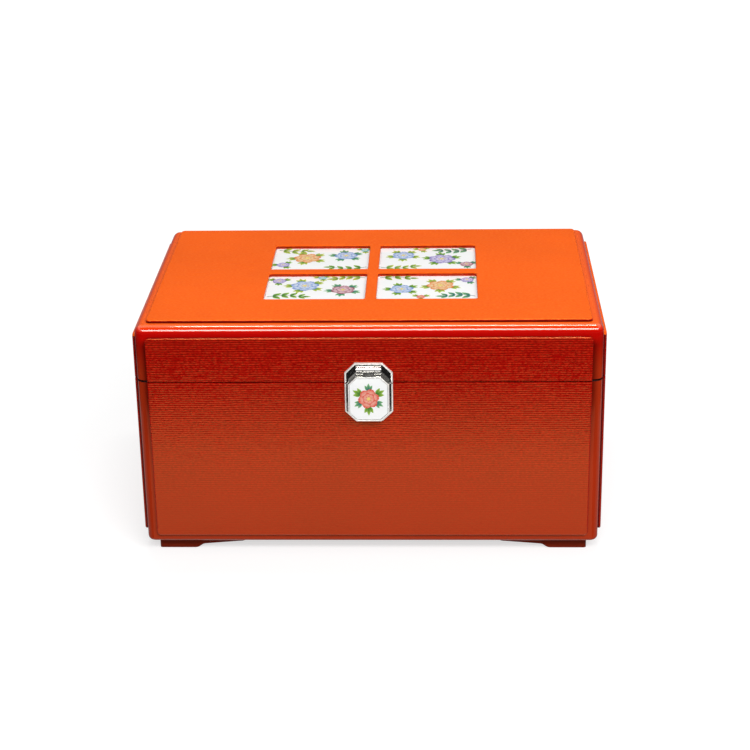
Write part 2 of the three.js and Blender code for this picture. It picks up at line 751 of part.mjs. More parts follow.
// The clasp reaches out at the front, so the chest stands this far back to centre the outer box
chest.position.y = -(flapFront + outerBack) / 2;

export default chest;
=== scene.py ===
"""Jewelry chest in red lacquer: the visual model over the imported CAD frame.

Shapes are drawn in millimetres about the middle of the chest's outer box, as in the CAD source,
and become metres in the row frame when a piece is made. +Z is up and the front faces -Y.
"""

import math

import bmesh
import bpy
from mathutils import Matrix, Vector, noise


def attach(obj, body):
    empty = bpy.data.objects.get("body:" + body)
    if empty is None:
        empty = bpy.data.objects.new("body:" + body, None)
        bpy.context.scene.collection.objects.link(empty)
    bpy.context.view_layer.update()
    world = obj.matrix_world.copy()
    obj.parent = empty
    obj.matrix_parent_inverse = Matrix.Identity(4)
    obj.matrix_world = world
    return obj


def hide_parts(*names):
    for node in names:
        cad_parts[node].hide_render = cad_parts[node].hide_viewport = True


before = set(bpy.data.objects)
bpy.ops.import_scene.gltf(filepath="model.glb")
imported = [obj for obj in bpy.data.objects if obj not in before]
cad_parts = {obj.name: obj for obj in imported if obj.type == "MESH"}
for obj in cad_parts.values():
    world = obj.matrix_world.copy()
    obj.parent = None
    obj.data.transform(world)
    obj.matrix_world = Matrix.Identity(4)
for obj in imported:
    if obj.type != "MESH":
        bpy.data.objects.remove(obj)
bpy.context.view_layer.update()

MM = 0.001
SIDES = ("front", "back", "left", "right")

# Outer box
WIDTH = 300
DEPTH = 200
BODY_HEIGHT = 116
LID_HEIGHT = 37.3
SEAM_GAP = 0.7
CORNER_RADIUS = 5.5
BOTTOM_EDGE_RADIUS = 3
TOP_EDGE_RADIUS = 5
SEAM_EDGE = 0.4
WALL = 9
RAIL = 8.5
BOTTOM_BOARD = 7
LID_BOARD = 10

# Raised fields
FIELD_PROUD = 2.2
FIELD_MARGIN = 7
FIELD_BOTTOM_MARGIN = 5.7
FIELD_CORNER = 2.8
FIELD_EDGE = 0.9
FIELD_SEAM_EDGE = 0.22
SUNK = 0.3

# Windows and tiles
WINDOW_WIDTH = 66.7
WINDOW_DEPTH = 51
WINDOW_CORNER = 1.6
MULLION_ACROSS = 7.6
MULLION_ALONG = 8.8
WINDOWS_BEHIND_MIDDLE = 1.35
TILE_THICKNESS = 2.5
TILE_LAP = 2
TILE_DROP = 0.3
TILE_CROWN = 0.12

# Feet
FOOT_HEIGHT = 8
FOOT_INSET = 7.1
FOOT_THICKNESS = 7
FOOT_FLAT = 23.5
FOOT_OGEE = 8
FOOT_OGEE_RISE = 3
FOOT_TAPER = 22
FOOT_TAPER_RISE = 1.8
FOOT_END = 6
FOOT_CORNER = 1.6
FOOT_STEPS = 8

# Inside
LINING = 1.8
LIP_HEIGHT = 3.5
PAD_THICKNESS = 3
TRAY_BELOW_SEAM = 5
TRAY_HEIGHT = 26
TRAY_FLOOR = 3
TRAY_WALL = 4
TRAY_CLEARANCE = 1
RING_SECTION_WIDTH = 88
ROLL_COUNT = 4
ROLL_WIDTH = 16.4
ROLL_HEIGHT = 16.5
ROLL_GAP = 0.6

# Hinges
HINGE_LENGTH = 26
HINGE_FROM_SIDE = 58
HINGE_AXIS_DEPTH = 2.8
HINGE_RADIUS = 2.2
LEAF_WIDTH = 7
LEAF_THICKNESS = 1
STOP_ANGLE = 97
SCREW_RADIUS = 1.7
SCREW_SPACING = 8.2
SLOT_REACH = 1.15
SLOT_HALF = 0.17

# Clasp
CLASP_HALF_WIDTH = 15.5
CLASP_ABOVE_SEAM = 13.6
CLASP_BELOW_SEAM = 26.2
CLASP_CHAMFER = 6.6
CLASP_BASE = 0.8
CLASP_RIM_WIDTH = 1
CLASP_RIM_HEIGHT = 1.3
FLAP_HALF_WIDTH = 13.25
FLAP_ABOVE_SEAM = 5.7
FLAP_CHAMFER = 5.3
FLAP_THICKNESS = 5
FLAP_WEB = 1.2
BEZEL_WIDTH = 1
PLAQUE_THICKNESS = 1.6
PLAQUE_SUNK = 0.4
PLAQUE_CROWN = 0.25
BARREL_RADIUS = 1.8
BARREL_LENGTH = 15.5
BARREL_MIDDLE_KNUCKLE = 7.2
BARREL_ABOVE_SEAM = 10
BARREL_PIN_RADIUS = 0.8
MAGNET_RADIUS = 4
MAGNET_THICKNESS = 2
MAGNET_ABOVE_FLAP_END = 9
CLEARANCE = 0.3
BEYOND = 2

# Facets
CORNER_STEPS = 8
EDGE_STEPS = 8
ROUND_STEPS = 40
SHARP_ANGLE = math.radians(32)

seam = FOOT_HEIGHT + BODY_HEIGHT
body_top = seam - SEAM_GAP / 2
lid_bottom = seam + SEAM_GAP / 2
lid_top = seam + LID_HEIGHT
board_bottom = lid_top - LID_BOARD
floor_top = FOOT_HEIGHT + BOTTOM_BOARD
half_width = WIDTH / 2
half_depth = DEPTH / 2
field_bottom = FOOT_HEIGHT + FIELD_BOTTOM_MARGIN
field_top = lid_top - FIELD_MARGIN
outer_back = half_depth + FIELD_PROUD
EDGE_FOOT = FIELD_PROUD - FIELD_EDGE - 0.15
hinge_y = outer_back - HINGE_AXIS_DEPTH
hinge_x = half_width - HINGE_FROM_SIDE
clasp_face = -outer_back
clasp_base_front = clasp_face - CLASP_BASE
flap_back = clasp_base_front - CLEARANCE
flap_front = flap_back - FLAP_THICKNESS
clasp_low = seam - CLASP_BELOW_SEAM
flap_low = clasp_low + CLASP_RIM_WIDTH + CLEARANCE
flap_high = seam + FLAP_ABOVE_SEAM
clasp_high = seam + CLASP_ABOVE_SEAM
CLASP_SIZES = (CLASP_HALF_WIDTH, clasp_low, clasp_high, CLASP_CHAMFER)
FLAP_SIZES = (FLAP_HALF_WIDTH, flap_low, flap_high, FLAP_CHAMFER)
clasp_axis_y = clasp_base_front - CLEARANCE - BARREL_RADIUS
clasp_axis_z = seam + BARREL_ABOVE_SEAM
knuckle_half = BARREL_MIDDLE_KNUCKLE / 2
tray_rim = seam - TRAY_BELOW_SEAM
tray_low = tray_rim - TRAY_HEIGHT
row_shift = -(flap_front + outer_back) / 2

TO_ROW = Matrix.Scale(MM, 4) @ Matrix.Translation((0, row_shift, 0))
UPRIGHT = Matrix(((1, 0, 0, 0), (0, 0, -1, 0), (0, 1, 0, 0), (0, 0, 0, 1)))


def row_point(x, y, z):
    """A point of the drawing as metres in the row frame."""
    return TO_ROW @ Vector((x, y, z))


def drawn(point):
    """A point of the row frame as millimetres of the drawing."""
    return (point - row_point(0, 0, 0)) / MM


# Materials


def put(source, target):
    """Links a node's output to an input, or writes a plain value there."""
    if isinstance(source, bpy.types.NodeSocket):
        target.id_data.links.new(source, target)
    else:
        target.default_value = source


def add_node(tree, kind, *values, **settings):
    """A new node with these settings, its first inputs linked or set."""
    node = tree.nodes.new(f"ShaderNode{kind}")
    for name, value in settings.items():
        setattr(node, name, value)
    for value, target in zip(values, node.inputs):
        put(value, target)
    return node


def grey(level):
    """A colour with three equal shares."""
    return (level, level, level)


class Finish:
    """A material with a Principled shader, and short ways to add its nodes."""

    def __init__(self, name, **constants):
        self.material = bpy.data.materials.new(name)
        self.material.use_nodes = True
        self.shader = self.material.node_tree.nodes["Principled BSDF"]
        for socket, value in constants.items():
            self.shader.inputs[socket.replace("_", " ")].default_value = value
        scaled = self.add("VectorMath", self.add("TexCoord").outputs["Object"], operation="SCALE")
        scaled.inputs["Scale"].default_value = 1 / MM
        self.position = scaled.outputs[0]

    def add(self, kind, *values, **settings):
        return add_node(self.material.node_tree, kind, *values, **settings)

    def feed(self, socket, source):
        """Links or sets an input of the shader."""
        put(source, self.shader.inputs[socket])

    def math(self, operation, *values):
        return self.add("Math", *values, operation=operation).outputs[0]

    def axes(self):
        """The position's three coordinates, in millimetres."""
        return self.add("SeparateXYZ", self.position).outputs

    def noise(self, size, detail, stretch=(1, 1, 1), at=None):
        """Noise with features of that size in millimetres, longer along an axis where stretch says so."""
        place = self.add("Mapping", self.position if at is None else at)
        place.inputs["Scale"].default_value = [1 / (size * share) for share in stretch]
        node = self.add("TexNoise", place.outputs[0])
        node.inputs["Scale"].default_value = 1
        node.inputs["Detail"].default_value = detail
        return node.outputs["Fac"]

    def wave(self, value, pitch):
        """A sine between -1 and 1 that repeats at that pitch."""
        return self.math("SINE", self.math("MULTIPLY", value, 2 * math.pi / pitch))

    def ramp(self, value, *stops):
        """A colour that follows a value through stops, each a place and a colour."""
        node = self.add("ValToRGB", value)
        elements = node.color_ramp.elements
        while len(elements) < len(stops):
            elements.new(0.5)
        for element, (place, colour) in zip(elements, stops):
            element.position = place
            element.color = (*colour, 1)
        return node.outputs["Color"]

    def between(self, value, low, high, first, second):
        """Value from low to high, as a number that goes from first to second."""
        return self.add("MapRange", value, low, high, first, second).outputs[0]

    def varied(self, value, first, second):
        """A number or colour that goes from first to second over most of a noise's range."""
        low, high = 0.3, 0.7
        if isinstance(first, tuple):
            return self.ramp(value, (low, first), (high, second))
        return self.between(value, low, high, first, second)

    def mixed(self, share, first, second, blend="MIX"):
        """Two colours mixed by a share."""
        node = self.add("Mix", share, data_type="RGBA", blend_type=blend)
        for value, name in ((first, "A"), (second, "B")):
            target = next(i for i in node.inputs if i.name == name and i.type == "RGBA")
            put((*value, 1) if isinstance(value, tuple) else value, target)
        return next(o for o in node.outputs if o.type == "RGBA")

    def colour(self, source, shade=None):
        """The shader's colour, times a shade where one is given."""
        if shade is not None:
            source = self.mixed(1.0, source, shade, "MULTIPLY")
        self.feed("Base Color", source)

    def bump(self, height, depth):
        """A bump of that depth in millimetres between heights 0 and 1."""
        node = self.add("Bump")
        node.inputs["Distance"].default_value = depth * MM
        put(height, node.inputs["Height"])
        self.feed("Normal", node.outputs[0])


def lacquered_cloth(name, trough, body, crest_highlight, ribs_along_z, depth, satin, **constants):
    """Lacquer over ribbed cloth: the ribs run round the sides, and across the top.

    The colour is darker between the ribs and holds a painted highlight on their crests, and both fade out
    towards the foot.
    """
    finish = Finish(name, **constants)
    x, y, z = finish.axes()
    along, across = (finish.math("ADD", x, y), z) if ribs_along_z else (x, y)
    place = finish.add("CombineXYZ", along, 0.0, across).outputs[0]
    wander = finish.noise(9, 2, (3, 1, 1), place)
    rib = finish.wave(finish.math("MULTIPLY_ADD", wander, RIB_WANDER, across), RIB_PITCH)
    streak = finish.noise(1.4, 2, (9, 1, 1), place)
    slub = finish.noise(1.0, 2, (2, 1, 1), place)
    thread = finish.wave(along, THREAD_PITCH)
    height = -0.25
    for pattern, share in ((rib, 0.24), (thread, 0.05), (slub, 1.1), (streak, 0.4)):
        height = finish.math("MULTIPLY_ADD", pattern, share, height)
    finish.bump(height, depth)
    # The crest colour is a painted highlight: rib tops lighter and warmer as if catching the lamps
    weave = finish.ramp(height, (0.22, trough), (0.42, body), (0.6, body), (0.82, crest_highlight))
    weave = finish.mixed(finish.between(z, *RIB_FADE_HEIGHTS, RIB_FADE, 0.0), weave, body)
    finish.colour(weave, finish.varied(finish.noise(60, 3), grey(0.92), grey(1.0)))
    finish.feed("Roughness", finish.varied(streak, *satin))
    return finish.material


def gloss_lacquer():
    """Polished red lacquer, painted lighter and warmer towards the top of the lid as if lit from above.

    It has painted shade beside the fields, and its varnish is thick only on the lid's edge.
    """
    finish = Finish(
        "gloss_lacquer",
        Specular_IOR_Level=0.3,
        Specular_Tint=(1, 0.42, 0.16, 1),
        Coat_Roughness=0.04,
        Coat_IOR=1.75,
    )
    x, y, z = finish.axes()
    # Painted light by height: deep red low on the lid, lighter and warmer red towards its top
    painted_light = finish.ramp(
        finish.between(z, PAINTED_LIGHT_FROM, lid_top, 0.0, 1.0),
        (0.0, (0.43, 0.030, 0.006)),
        (0.6, (0.39, 0.005, 0.0015)),
        (0.88, (0.55, 0.001, 0.001)),
        (0.95, (0.84, 0.035, 0.002)),
        (1.0, (0.97, 0.125, 0.012)),
    )
    outward = finish.math("ABSOLUTE", x)
    corner = half_width - 6
    # Painted shade: darker next to the fields' edges, fading out towards the corners
    painted_shade = finish.between(outward, corner, corner + 4, 0.75, 0.0)
    for heights, ends in ((SHADE_BEGINS, (0.0, 1.0)), (SHADE_ENDS, (1.0, 0.0))):
        painted_shade = finish.math("MULTIPLY", painted_shade, finish.between(z, *heights, *ends))
    shade = finish.varied(finish.noise(50, 3), grey(0.95), grey(1.0))
    finish.colour(finish.mixed(painted_shade, painted_light, (0.08, 0.001, 0.001)), shade)
    finish.feed("Roughness", finish.varied(finish.noise(14, 4), 0.08, 0.13))
    thin = grey(0.02)
    thick = grey(0.9)
    edge = finish.between(z, lid_top - TOP_EDGE_RADIUS, lid_top, 0.0, 1.0)
    varnish = finish.ramp(edge, (0.28, thin), (0.48, thick), (0.9, thick), (0.985, thin))
    side = finish.between(outward, corner, corner + 1.5, 0.0, 1.0)
    front = row_shift - half_depth
    side = finish.math("MULTIPLY", side, finish.between(y, front + 6, front + 9, 0.0, 1.0))
    finish.feed("Coat Weight", finish.mixed(side, varnish, thin))
    finish.bump(finish.noise(22, 2), 0.003)
    return finish.material


def painted_enamel():
    """Thin colours fired on the enamel: the mesh holds the paint's colour."""
    finish = Finish("painted_enamel", Specular_IOR_Level=0.4, Coat_Weight=0.15, Coat_Roughness=0.06)
    wash = finish.noise(0.9, 4)
    colour = finish.add("Attribute", attribute_name="paint").outputs["Color"]
    finish.colour(colour, finish.varied(wash, grey(0.78), grey(1.0)))
    finish.feed("Roughness", finish.varied(wash, 0.16, 0.28))
    finish.bump(wash, 0.02)
    return finish.material


def flecked(name, fleck, dark, light, satin, depth, relief=None, **constants):
    """A finish whose colour and gloss vary with one noise, and its height with that or another."""
    finish = Finish(name, **constants)
    value = finish.noise(*fleck)
    finish.colour(finish.varied(value, dark, light))
    finish.feed("Roughness", finish.varied(value, *satin))
    finish.bump(finish.noise(*relief) if relief else value, depth)
    return finish.material


def metal(name, dull, bright, satin, grain, depth, metallic=1.0):
    """A metal with faint wear of that grain in millimetres."""
    relief = (grain * 0.6, 3)
    return flecked(name, (grain, 4), dull, bright, satin, depth, relief, Metallic=metallic)


def velvet(name, dark, light):
    """A short pile that lies over in soft patches."""
    finish = Finish(
        name,
        Sheen_Weight=0.5,
        Sheen_Roughness=0.4,
        Sheen_Tint=(0.9, 0.35, 0.4, 1),
        Specular_IOR_Level=0.15,
    )
    lie = finish.noise(26, 3)
    pile = finish.noise(0.45, 3)
    body = finish.ramp(lie, (0.32, dark), (0.68, light))
    finish.colour(body, finish.varied(pile, grey(0.7), grey(1.0)))
    finish.feed("Roughness", finish.varied(lie, 0.82, 0.95))
    finish.bump(pile, 0.18)
    return finish.material


# Ribs and threads of the cloth under the lacquer
RIB_PITCH = 1.54
RIB_WANDER = 1.4
THREAD_PITCH = 0.86

# Heights over which the ribs' painted highlight and darker troughs fade out towards the foot, and how far
# they fade below them
RIB_FADE_HEIGHTS = (30.0, 95.0)
RIB_FADE = 0.85

# Heights from which the gloss lacquer is painted lighter as if lit from above, and over which its painted
# shade beside the fields begins and ends
PAINTED_LIGHT_FROM = 130.0
SHADE_BEGINS = (60.0, 115.0)
SHADE_ENDS = (148.0, 153.0)

side_cloth = lacquered_cloth(
    "side_cloth_lacquer",
    trough=(0.18, 0.0006, 0.0006),
    body=(0.375, 0.0012, 0.0012),
    crest_highlight=(0.60, 0.013, 0.004),
    ribs_along_z=True,
    depth=0.055,
    satin=(0.1, 0.15),
    IOR=1.6,
    Specular_IOR_Level=1.0,
    Specular_Tint=(1, 0.38, 0.1, 1),
)
# The top's copy of the cloth lacquer, painted lighter and warmer than the sides' as if lit from above
painted_lit_top_cloth = lacquered_cloth(
    "painted_lit_top_lacquer",
    trough=(0.86, 0.098, 0.004),
    body=(0.91, 0.12, 0.006),
    crest_highlight=(0.94, 0.17, 0.02),
    ribs_along_z=False,
    depth=0.03,
    satin=(0.42, 0.55),
    Specular_IOR_Level=0.12,
    Specular_Tint=(1, 0.45, 0.15, 1),
)
gloss = gloss_lacquer()

# Painted shade: dark red at the foot of a raised field, where light hardly reaches
groove = flecked(
    "painted_groove_shade",
    (5, 3),
    (0.09, 0.001, 0.001),
    (0.15, 0.0015, 0.001),
    (0.4, 0.55),
    0.03,
    Specular_IOR_Level=0.1,
)

# Painted shade: near-black on the edges that meet at the seam, where the gap lies in shadow
painted_seam_shade = flecked(
    "painted_seam_shade_lacquer",
    (3, 3, (3, 3, 1)),
    (0.018, 0.002, 0.0015),
    (0.034, 0.003, 0.002),
    (0.3, 0.42),
    0.02,
    Specular_IOR_Level=0.15,
)
foot_finish = flecked(
    "foot_lacquer",
    (2.4, 4, (9, 9, 1)),
    (0.14, 0.009, 0.002),
    (0.20, 0.017, 0.004),
    (0.34, 0.5),
    0.05,
    Specular_IOR_Level=0.15,
    Specular_Tint=(1, 0.5, 0.3, 1),
)
enamel = flecked(
    "white_enamel",
    (16, 4),
    (0.95, 0.96, 0.965),
    (0.975, 0.985, 0.975),
    (0.1, 0.18),
    0.03,
    (6, 3),
    Specular_IOR_Level=0.4,
    Coat_Weight=0.15,
    Coat_Roughness=0.04,
)
paint = painted_enamel()
silver = metal("polished_silver", (0.80, 0.79, 0.76), (0.88, 0.87, 0.84), (0.05, 0.11), 3, 0.006)
# Pale, partly matt silver: a painted sheen that stands in for the rims' bright reflection
painted_sheen_silver = metal("painted_sheen_silver", (0.93, 0.92, 0.88), (0.97, 0.96, 0.93), (0.2, 0.3), 3, 0.006, 0.3)
brass = metal("satin_brass", (0.60, 0.40, 0.14), (0.74, 0.53, 0.22), (0.24, 0.36), 2, 0.02)
steel = metal("plated_steel", (0.45, 0.45, 0.46), (0.62, 0.62, 0.62), (0.25, 0.38), 1.5, 0.02)
mirror_glass = metal("mirror_glass", (0.86, 0.88, 0.89), (0.90, 0.92, 0.92), (0.015, 0.03), 90, 0.002)
red_velvet = velvet("red_velvet", (0.12, 0.008, 0.018), (0.16, 0.011, 0.024))
cushion_velvet = velvet("cushion_velvet", (0.14, 0.009, 0.02), (0.19, 0.014, 0.031))


# Meshes


def ring(half_x, half_y, radius, height, centre=(0, 0)):
    """A rounded rectangle at one height, counterclockwise."""
    points = []
    for turn, (side_x, side_y) in enumerate(((1, 1), (-1, 1), (-1, -1), (1, -1))):
        x = centre[0] + side_x * (half_x - radius)
        y = centre[1] + side_y * (half_y - radius)
        for step in range(CORNER_STEPS + 1):
            angle = (turn + step / CORNER_STEPS) * math.pi / 2
            points.append((x + radius * math.cos(angle), y + radius * math.sin(angle), height))
    return points


def upper_edge(inset, high, radius, steps=EDGE_STEPS):
    """Insets and heights round an upper edge, from the wall below it to the flat."""
    angles = [math.pi / 2 * step / steps for step in range(steps + 1)]
    return [(inset + radius * (1 - math.cos(a)), high - radius * (1 - math.sin(a))) for a in angles]


def lower_edge(inset, low, radius, steps=EDGE_STEPS):
    """Insets and heights round a lower edge, from the flat to the wall above it."""
    angles = [math.pi / 2 * step / steps for step in range(steps + 1)]
    return [(inset + radius * (1 - math.sin(a)), low + radius * (1 - math.cos(a))) for a in angles]


def rings(profile, half_x, half_y, radius, centre=(0, 0)):
    """One ring for each inset and height of a profile."""
    least = 0.25
    return [
        ring(half_x - inset, half_y - inset, max(radius - inset, least), height, centre)
        for inset, height in profile
    ]


def loft(rows, closed=False):
    """A mesh through rows of points of equal length, capped, or joined from last to first."""
    made = bmesh.new()
    grid = [[made.verts.new(point) for point in points] for points in rows]
    pairs = list(zip(grid, grid[1:]))
    if closed:
        pairs.append((grid[-1], grid[0]))
    else:
        made.faces.new(grid[0])
        made.faces.new(grid[-1])
    count = len(grid[0])
    for low, high in pairs:
        for index in range(count):
            after = (index + 1) % count
            made.faces.new((low[index], low[after], high[after], high[index]))
    bmesh.ops.recalc_face_normals(made, faces=made.faces)
    return made


def block(x, y, z):
    """A box between two values on each axis, for cutting with."""
    corners = [(x[0], y[0]), (x[1], y[0]), (x[1], y[1]), (x[0], y[1])]
    return loft([[(*corner, height) for corner in corners] for height in z])


def prism(outline, x_low, x_high):
    """An outline in Y and Z, extruded along X."""
    return loft([[(x, y, z) for y, z in outline] for x in (x_low, x_high)])


def rod(radius, x_low, x_high, y, z, chamfer=0.25):
    """A rod along X with softened ends."""
    end = ((0, 1), (0.3, 0.3), (1, 0))
    sections = [(x_low + chamfer * a, radius - chamfer * b) for a, b in end]
    sections += [(x_high - chamfer * a, radius - chamfer * b) for a, b in reversed(end)]
    angles = [2 * math.pi * step / ROUND_STEPS for step in range(ROUND_STEPS)]
    return loft([[(x, y + r * math.cos(a), z + r * math.sin(a)) for a in angles] for x, r in sections])


def disc(profile, x, z, steps=ROUND_STEPS):
    """A round turned about an axis along Y, from pairs of radius and Y."""
    angles = [2 * math.pi * step / steps for step in range(steps)]
    return loft([[(x + r * math.cos(a), y, z + r * math.sin(a)) for a in angles] for r, y in profile])


def meshed(name, shape):
    """The data of a mesh, from a shape that isn't needed any more."""
    mesh = bpy.data.meshes.new(name)
    shape.to_mesh(mesh)
    shape.free()
    return mesh


def placed(name, data):
    """An object of the scene with that data."""
    thing = bpy.data.objects.new(name, data)
    bpy.context.scene.collection.objects.link(thing)
    return thing


def joined(*parts):
    """Several meshes as one."""
    made = bmesh.new()
    for part in parts:
        mesh = meshed("part", part)
        made.from_mesh(mesh)
        bpy.data.meshes.remove(mesh)
    return made


def modified(thing):
    """An object's mesh with its modifiers applied."""
    graph = bpy.context.evaluated_depsgraph_get()
    return bpy.data.meshes.new_from_object(thing.evaluated_get(graph))


def dropped(*things):
    """Removes helper objects and their meshes."""
    for thing in things:
        mesh = thing.data
        bpy.data.objects.remove(thing)
        bpy.data.meshes.remove(mesh)


def cut(shape, *cutters):
    """The shape less the cutters."""
    body = placed("body", meshed("body", shape))
    tools = [placed("tool", meshed("tool", cutter)) for cutter in cutters]
    for tool in tools:
        modifier = body.modifiers.new("Cut", "BOOLEAN")
        modifier.operation = "DIFFERENCE"
        modifier.solver = "EXACT"
        modifier.object = tool
    mesh = modified(body)
    made = bmesh.new()
    made.from_mesh(mesh)
    bpy.data.meshes.remove(mesh)
    dropped(body, *tools)
    return made


def halved(shape, height, keep_above, edge):
    """The part of a shape above or below a height, its cut softened."""
    made = shape.copy()
    bmesh.ops.bisect_plane(
        made,
        geom=made.verts[:] + made.edges[:] + made.faces[:],
        dist=1e-5,
        plane_co=(0, 0, height),
        plane_no=(0, 0, 1),
        clear_inner=keep_above,
        clear_outer=not keep_above,
    )
    bmesh.ops.holes_fill(made, edges=[e for e in made.edges if e.is_boundary], sides=0)
    rim = [e for e in made.edges if all(abs(v.co.z - height) < 1e-4 for v in e.verts)]
    if edge:
        bmesh.ops.bevel(made, geom=rim, offset=edge, segments=2, affect="EDGES", profile=0.5)
    bmesh.ops.recalc_face_normals(made, faces=made.faces)
    return made


def show(name, shape, finish, body, replaces=(), bevel=0.0):
    """Makes a mesh a piece of the chest, with smooth faces and sharp creases."""
    shape.transform(TO_ROW)
    mesh = meshed(name, shape)
    mesh.materials.append(finish)
    piece = placed(name, mesh)
    if bevel:
        soften(piece, bevel)
    mesh.polygons.foreach_set("use_smooth", [True] * len(mesh.polygons))
    mesh.set_sharp_from_angle(angle=SHARP_ANGLE)
    shade(piece)
    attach(piece, body)
    if replaces:
        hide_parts(*replaces)
    return piece


def soften(piece, width):
    """Rounds the sharp edges by a width in millimetres."""
    modifier = piece.modifiers.new("Soft edges", "BEVEL")
    modifier.width = width * MM
    modifier.segments = 3
    modifier.limit_method = "ANGLE"
    modifier.angle_limit = math.radians(30)
    modifier.use_clamp_overlap = True


def shade(piece):
    """Even shading on flat faces, up to the sharp edges."""
    weighted = piece.modifiers.new("Even shading", "WEIGHTED_NORMAL")
    weighted.keep_sharp = True


def dress(node, finish, bevel=0.0):
    """Gives a CAD node its finish, and softens its edges."""
    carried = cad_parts[node]
    carried.data.materials.clear()
    carried.data.materials.append(finish)
    weld = carried.modifiers.new("Weld", "WELD")
    weld.merge_threshold = 0.01 * MM
    if bevel:
        soften(carried, bevel)
        shade(carried)


def refinish(piece, finish, chosen):
    """Gives another finish to the faces that a test chooses."""
    piece.data.materials.append(finish)
    for face in piece.data.polygons:
        if chosen(face):
            face.material_index = len(piece.data.materials) - 1


# Carcass

# How far a face's normal leans: out of the level at the seam, up where it gets lacquer painted as lit
# from above, and to the front
SEAM_SLOPE = 0.2
LIT_FACE_SLOPE = 0.45
FRONT_SLOPE = 0.9


def back_cuts():
    """The V groove along the back, and the mortises of both hinges."""
    reach = HINGE_AXIS_DEPTH + BEYOND
    rise = reach * math.tan(math.radians(STOP_ANGLE / 2))
    groove = [(hinge_y, seam), (hinge_y + reach, seam - rise), (hinge_y + reach, seam + rise)]
    cutters = [prism(groove, -WIDTH, WIDTH)]
    leaf_half = SEAM_GAP / 2 + LEAF_THICKNESS
    barrel_half = HINGE_RADIUS + CLEARANCE
    for x in (-hinge_x, hinge_x):
        ends = (x - HINGE_LENGTH / 2 - CLEARANCE, x + HINGE_LENGTH / 2 + CLEARANCE)
        leaf_y = (hinge_y - LEAF_WIDTH - CLEARANCE, hinge_y + BEYOND)
        barrel_y = (hinge_y - barrel_half, outer_back + BEYOND)
        cutters.append(block(ends, leaf_y, (seam - leaf_half, seam + leaf_half)))
        cutters.append(block(ends, barrel_y, (seam - barrel_half, seam + barrel_half)))
    return cutters


def nose(low, high):
    """A field's edge: it draws in a little towards what carries it, and is round in front."""
    rise = high - low - FIELD_EDGE
    under = [(0.08, low - SUNK), (0.08, low + 0.1), (0.03, low + rise * 0.5), (0.0, low + rise * 0.9)]
    return under + upper_edge(0, high, FIELD_EDGE, 6)


def window_places():
    """The middle of each window, and of the tile in it."""
    x = (WINDOW_WIDTH + MULLION_ACROSS) / 2
    y = (WINDOW_DEPTH + MULLION_ALONG) / 2
    places = {}
    for end, along in (("front", -y), ("back", y)):
        for side, across in (("left", -x), ("right", x)):
            places[f"{end}_{side}"] = (across, WINDOWS_BEHIND_MIDDLE + along)
    return places


def darken_seam(shell):
    """A shell's faces at the seam get the painted seam shade."""

    def at_seam(face):
        from_seam = abs(face.center.z / MM - seam)
        return from_seam < SEAM_GAP / 2 + SEAM_EDGE and abs(face.normal.z) > SEAM_SLOPE

    refinish(shell, painted_seam_shade, at_seam)


def body_shell():
    """The four walls of the body as one shell."""
    profile = lower_edge(0, FOOT_HEIGHT, BOTTOM_EDGE_RADIUS)
    profile += upper_edge(0, body_top, SEAM_EDGE, 3)
    profile += [(WALL - 0.2, body_top), (WALL, body_top - 0.2), (WALL, FOOT_HEIGHT)]
    shell = loft(rings(profile, half_width, half_depth, CORNER_RADIUS), closed=True)
    walls = [f"wall_{side}" for side in SIDES]
    darken_seam(show("body_shell", cut(shell, *back_cuts()), gloss, "chest", walls))


def lid_shell():
    """The lid's rails and board as one shell, with a pocket for each tile."""
    profile = [(RAIL, board_bottom), (RAIL, lid_bottom + 0.2), (RAIL - 0.2, lid_bottom)]
    profile += lower_edge(0, lid_bottom, SEAM_EDGE, 3)
    profile += upper_edge(0, lid_top, TOP_EDGE_RADIUS, 12)
    shell = loft(rings(profile, half_width, half_depth, CORNER_RADIUS))
    across = WINDOW_WIDTH / 2 + TILE_LAP + CLEARANCE
    along = WINDOW_DEPTH / 2 + TILE_LAP + CLEARANCE
    heights = (lid_top - TILE_DROP - TILE_THICKNESS, lid_top + BEYOND)
    pockets = []
    for x, y in window_places().values():
        pockets.append(block((x - across, x + across), (y - along, y + along), heights))
    made = cut(shell, *back_cuts(), *pockets)
    boards = [f"lid_rail_{side}" for side in SIDES] + ["lid_board"]
    darken_seam(show("lid_shell", made, gloss, "lid", boards))


def darken_foot(panel, turns):
    """The lower part of a side field's edge, next to the wall, gets the painted groove shade."""
    outward = Matrix.Rotation(turns * math.pi / 2, 3, "Z") @ Vector((0, -1, 0))
    wall = half_depth if turns % 2 == 0 else half_width

    def at_foot(face):
        proud = drawn(face.center).dot(outward) - wall
        return proud < EDGE_FOOT and abs(face.normal.dot(outward)) < FRONT_SLOPE

    refinish(panel, groove, at_foot)


def faces_up(face):
    """Whether a face faces up, and so gets lacquer painted lighter and warmer as if lit from above."""
    return face.normal.z > LIT_FACE_SLOPE


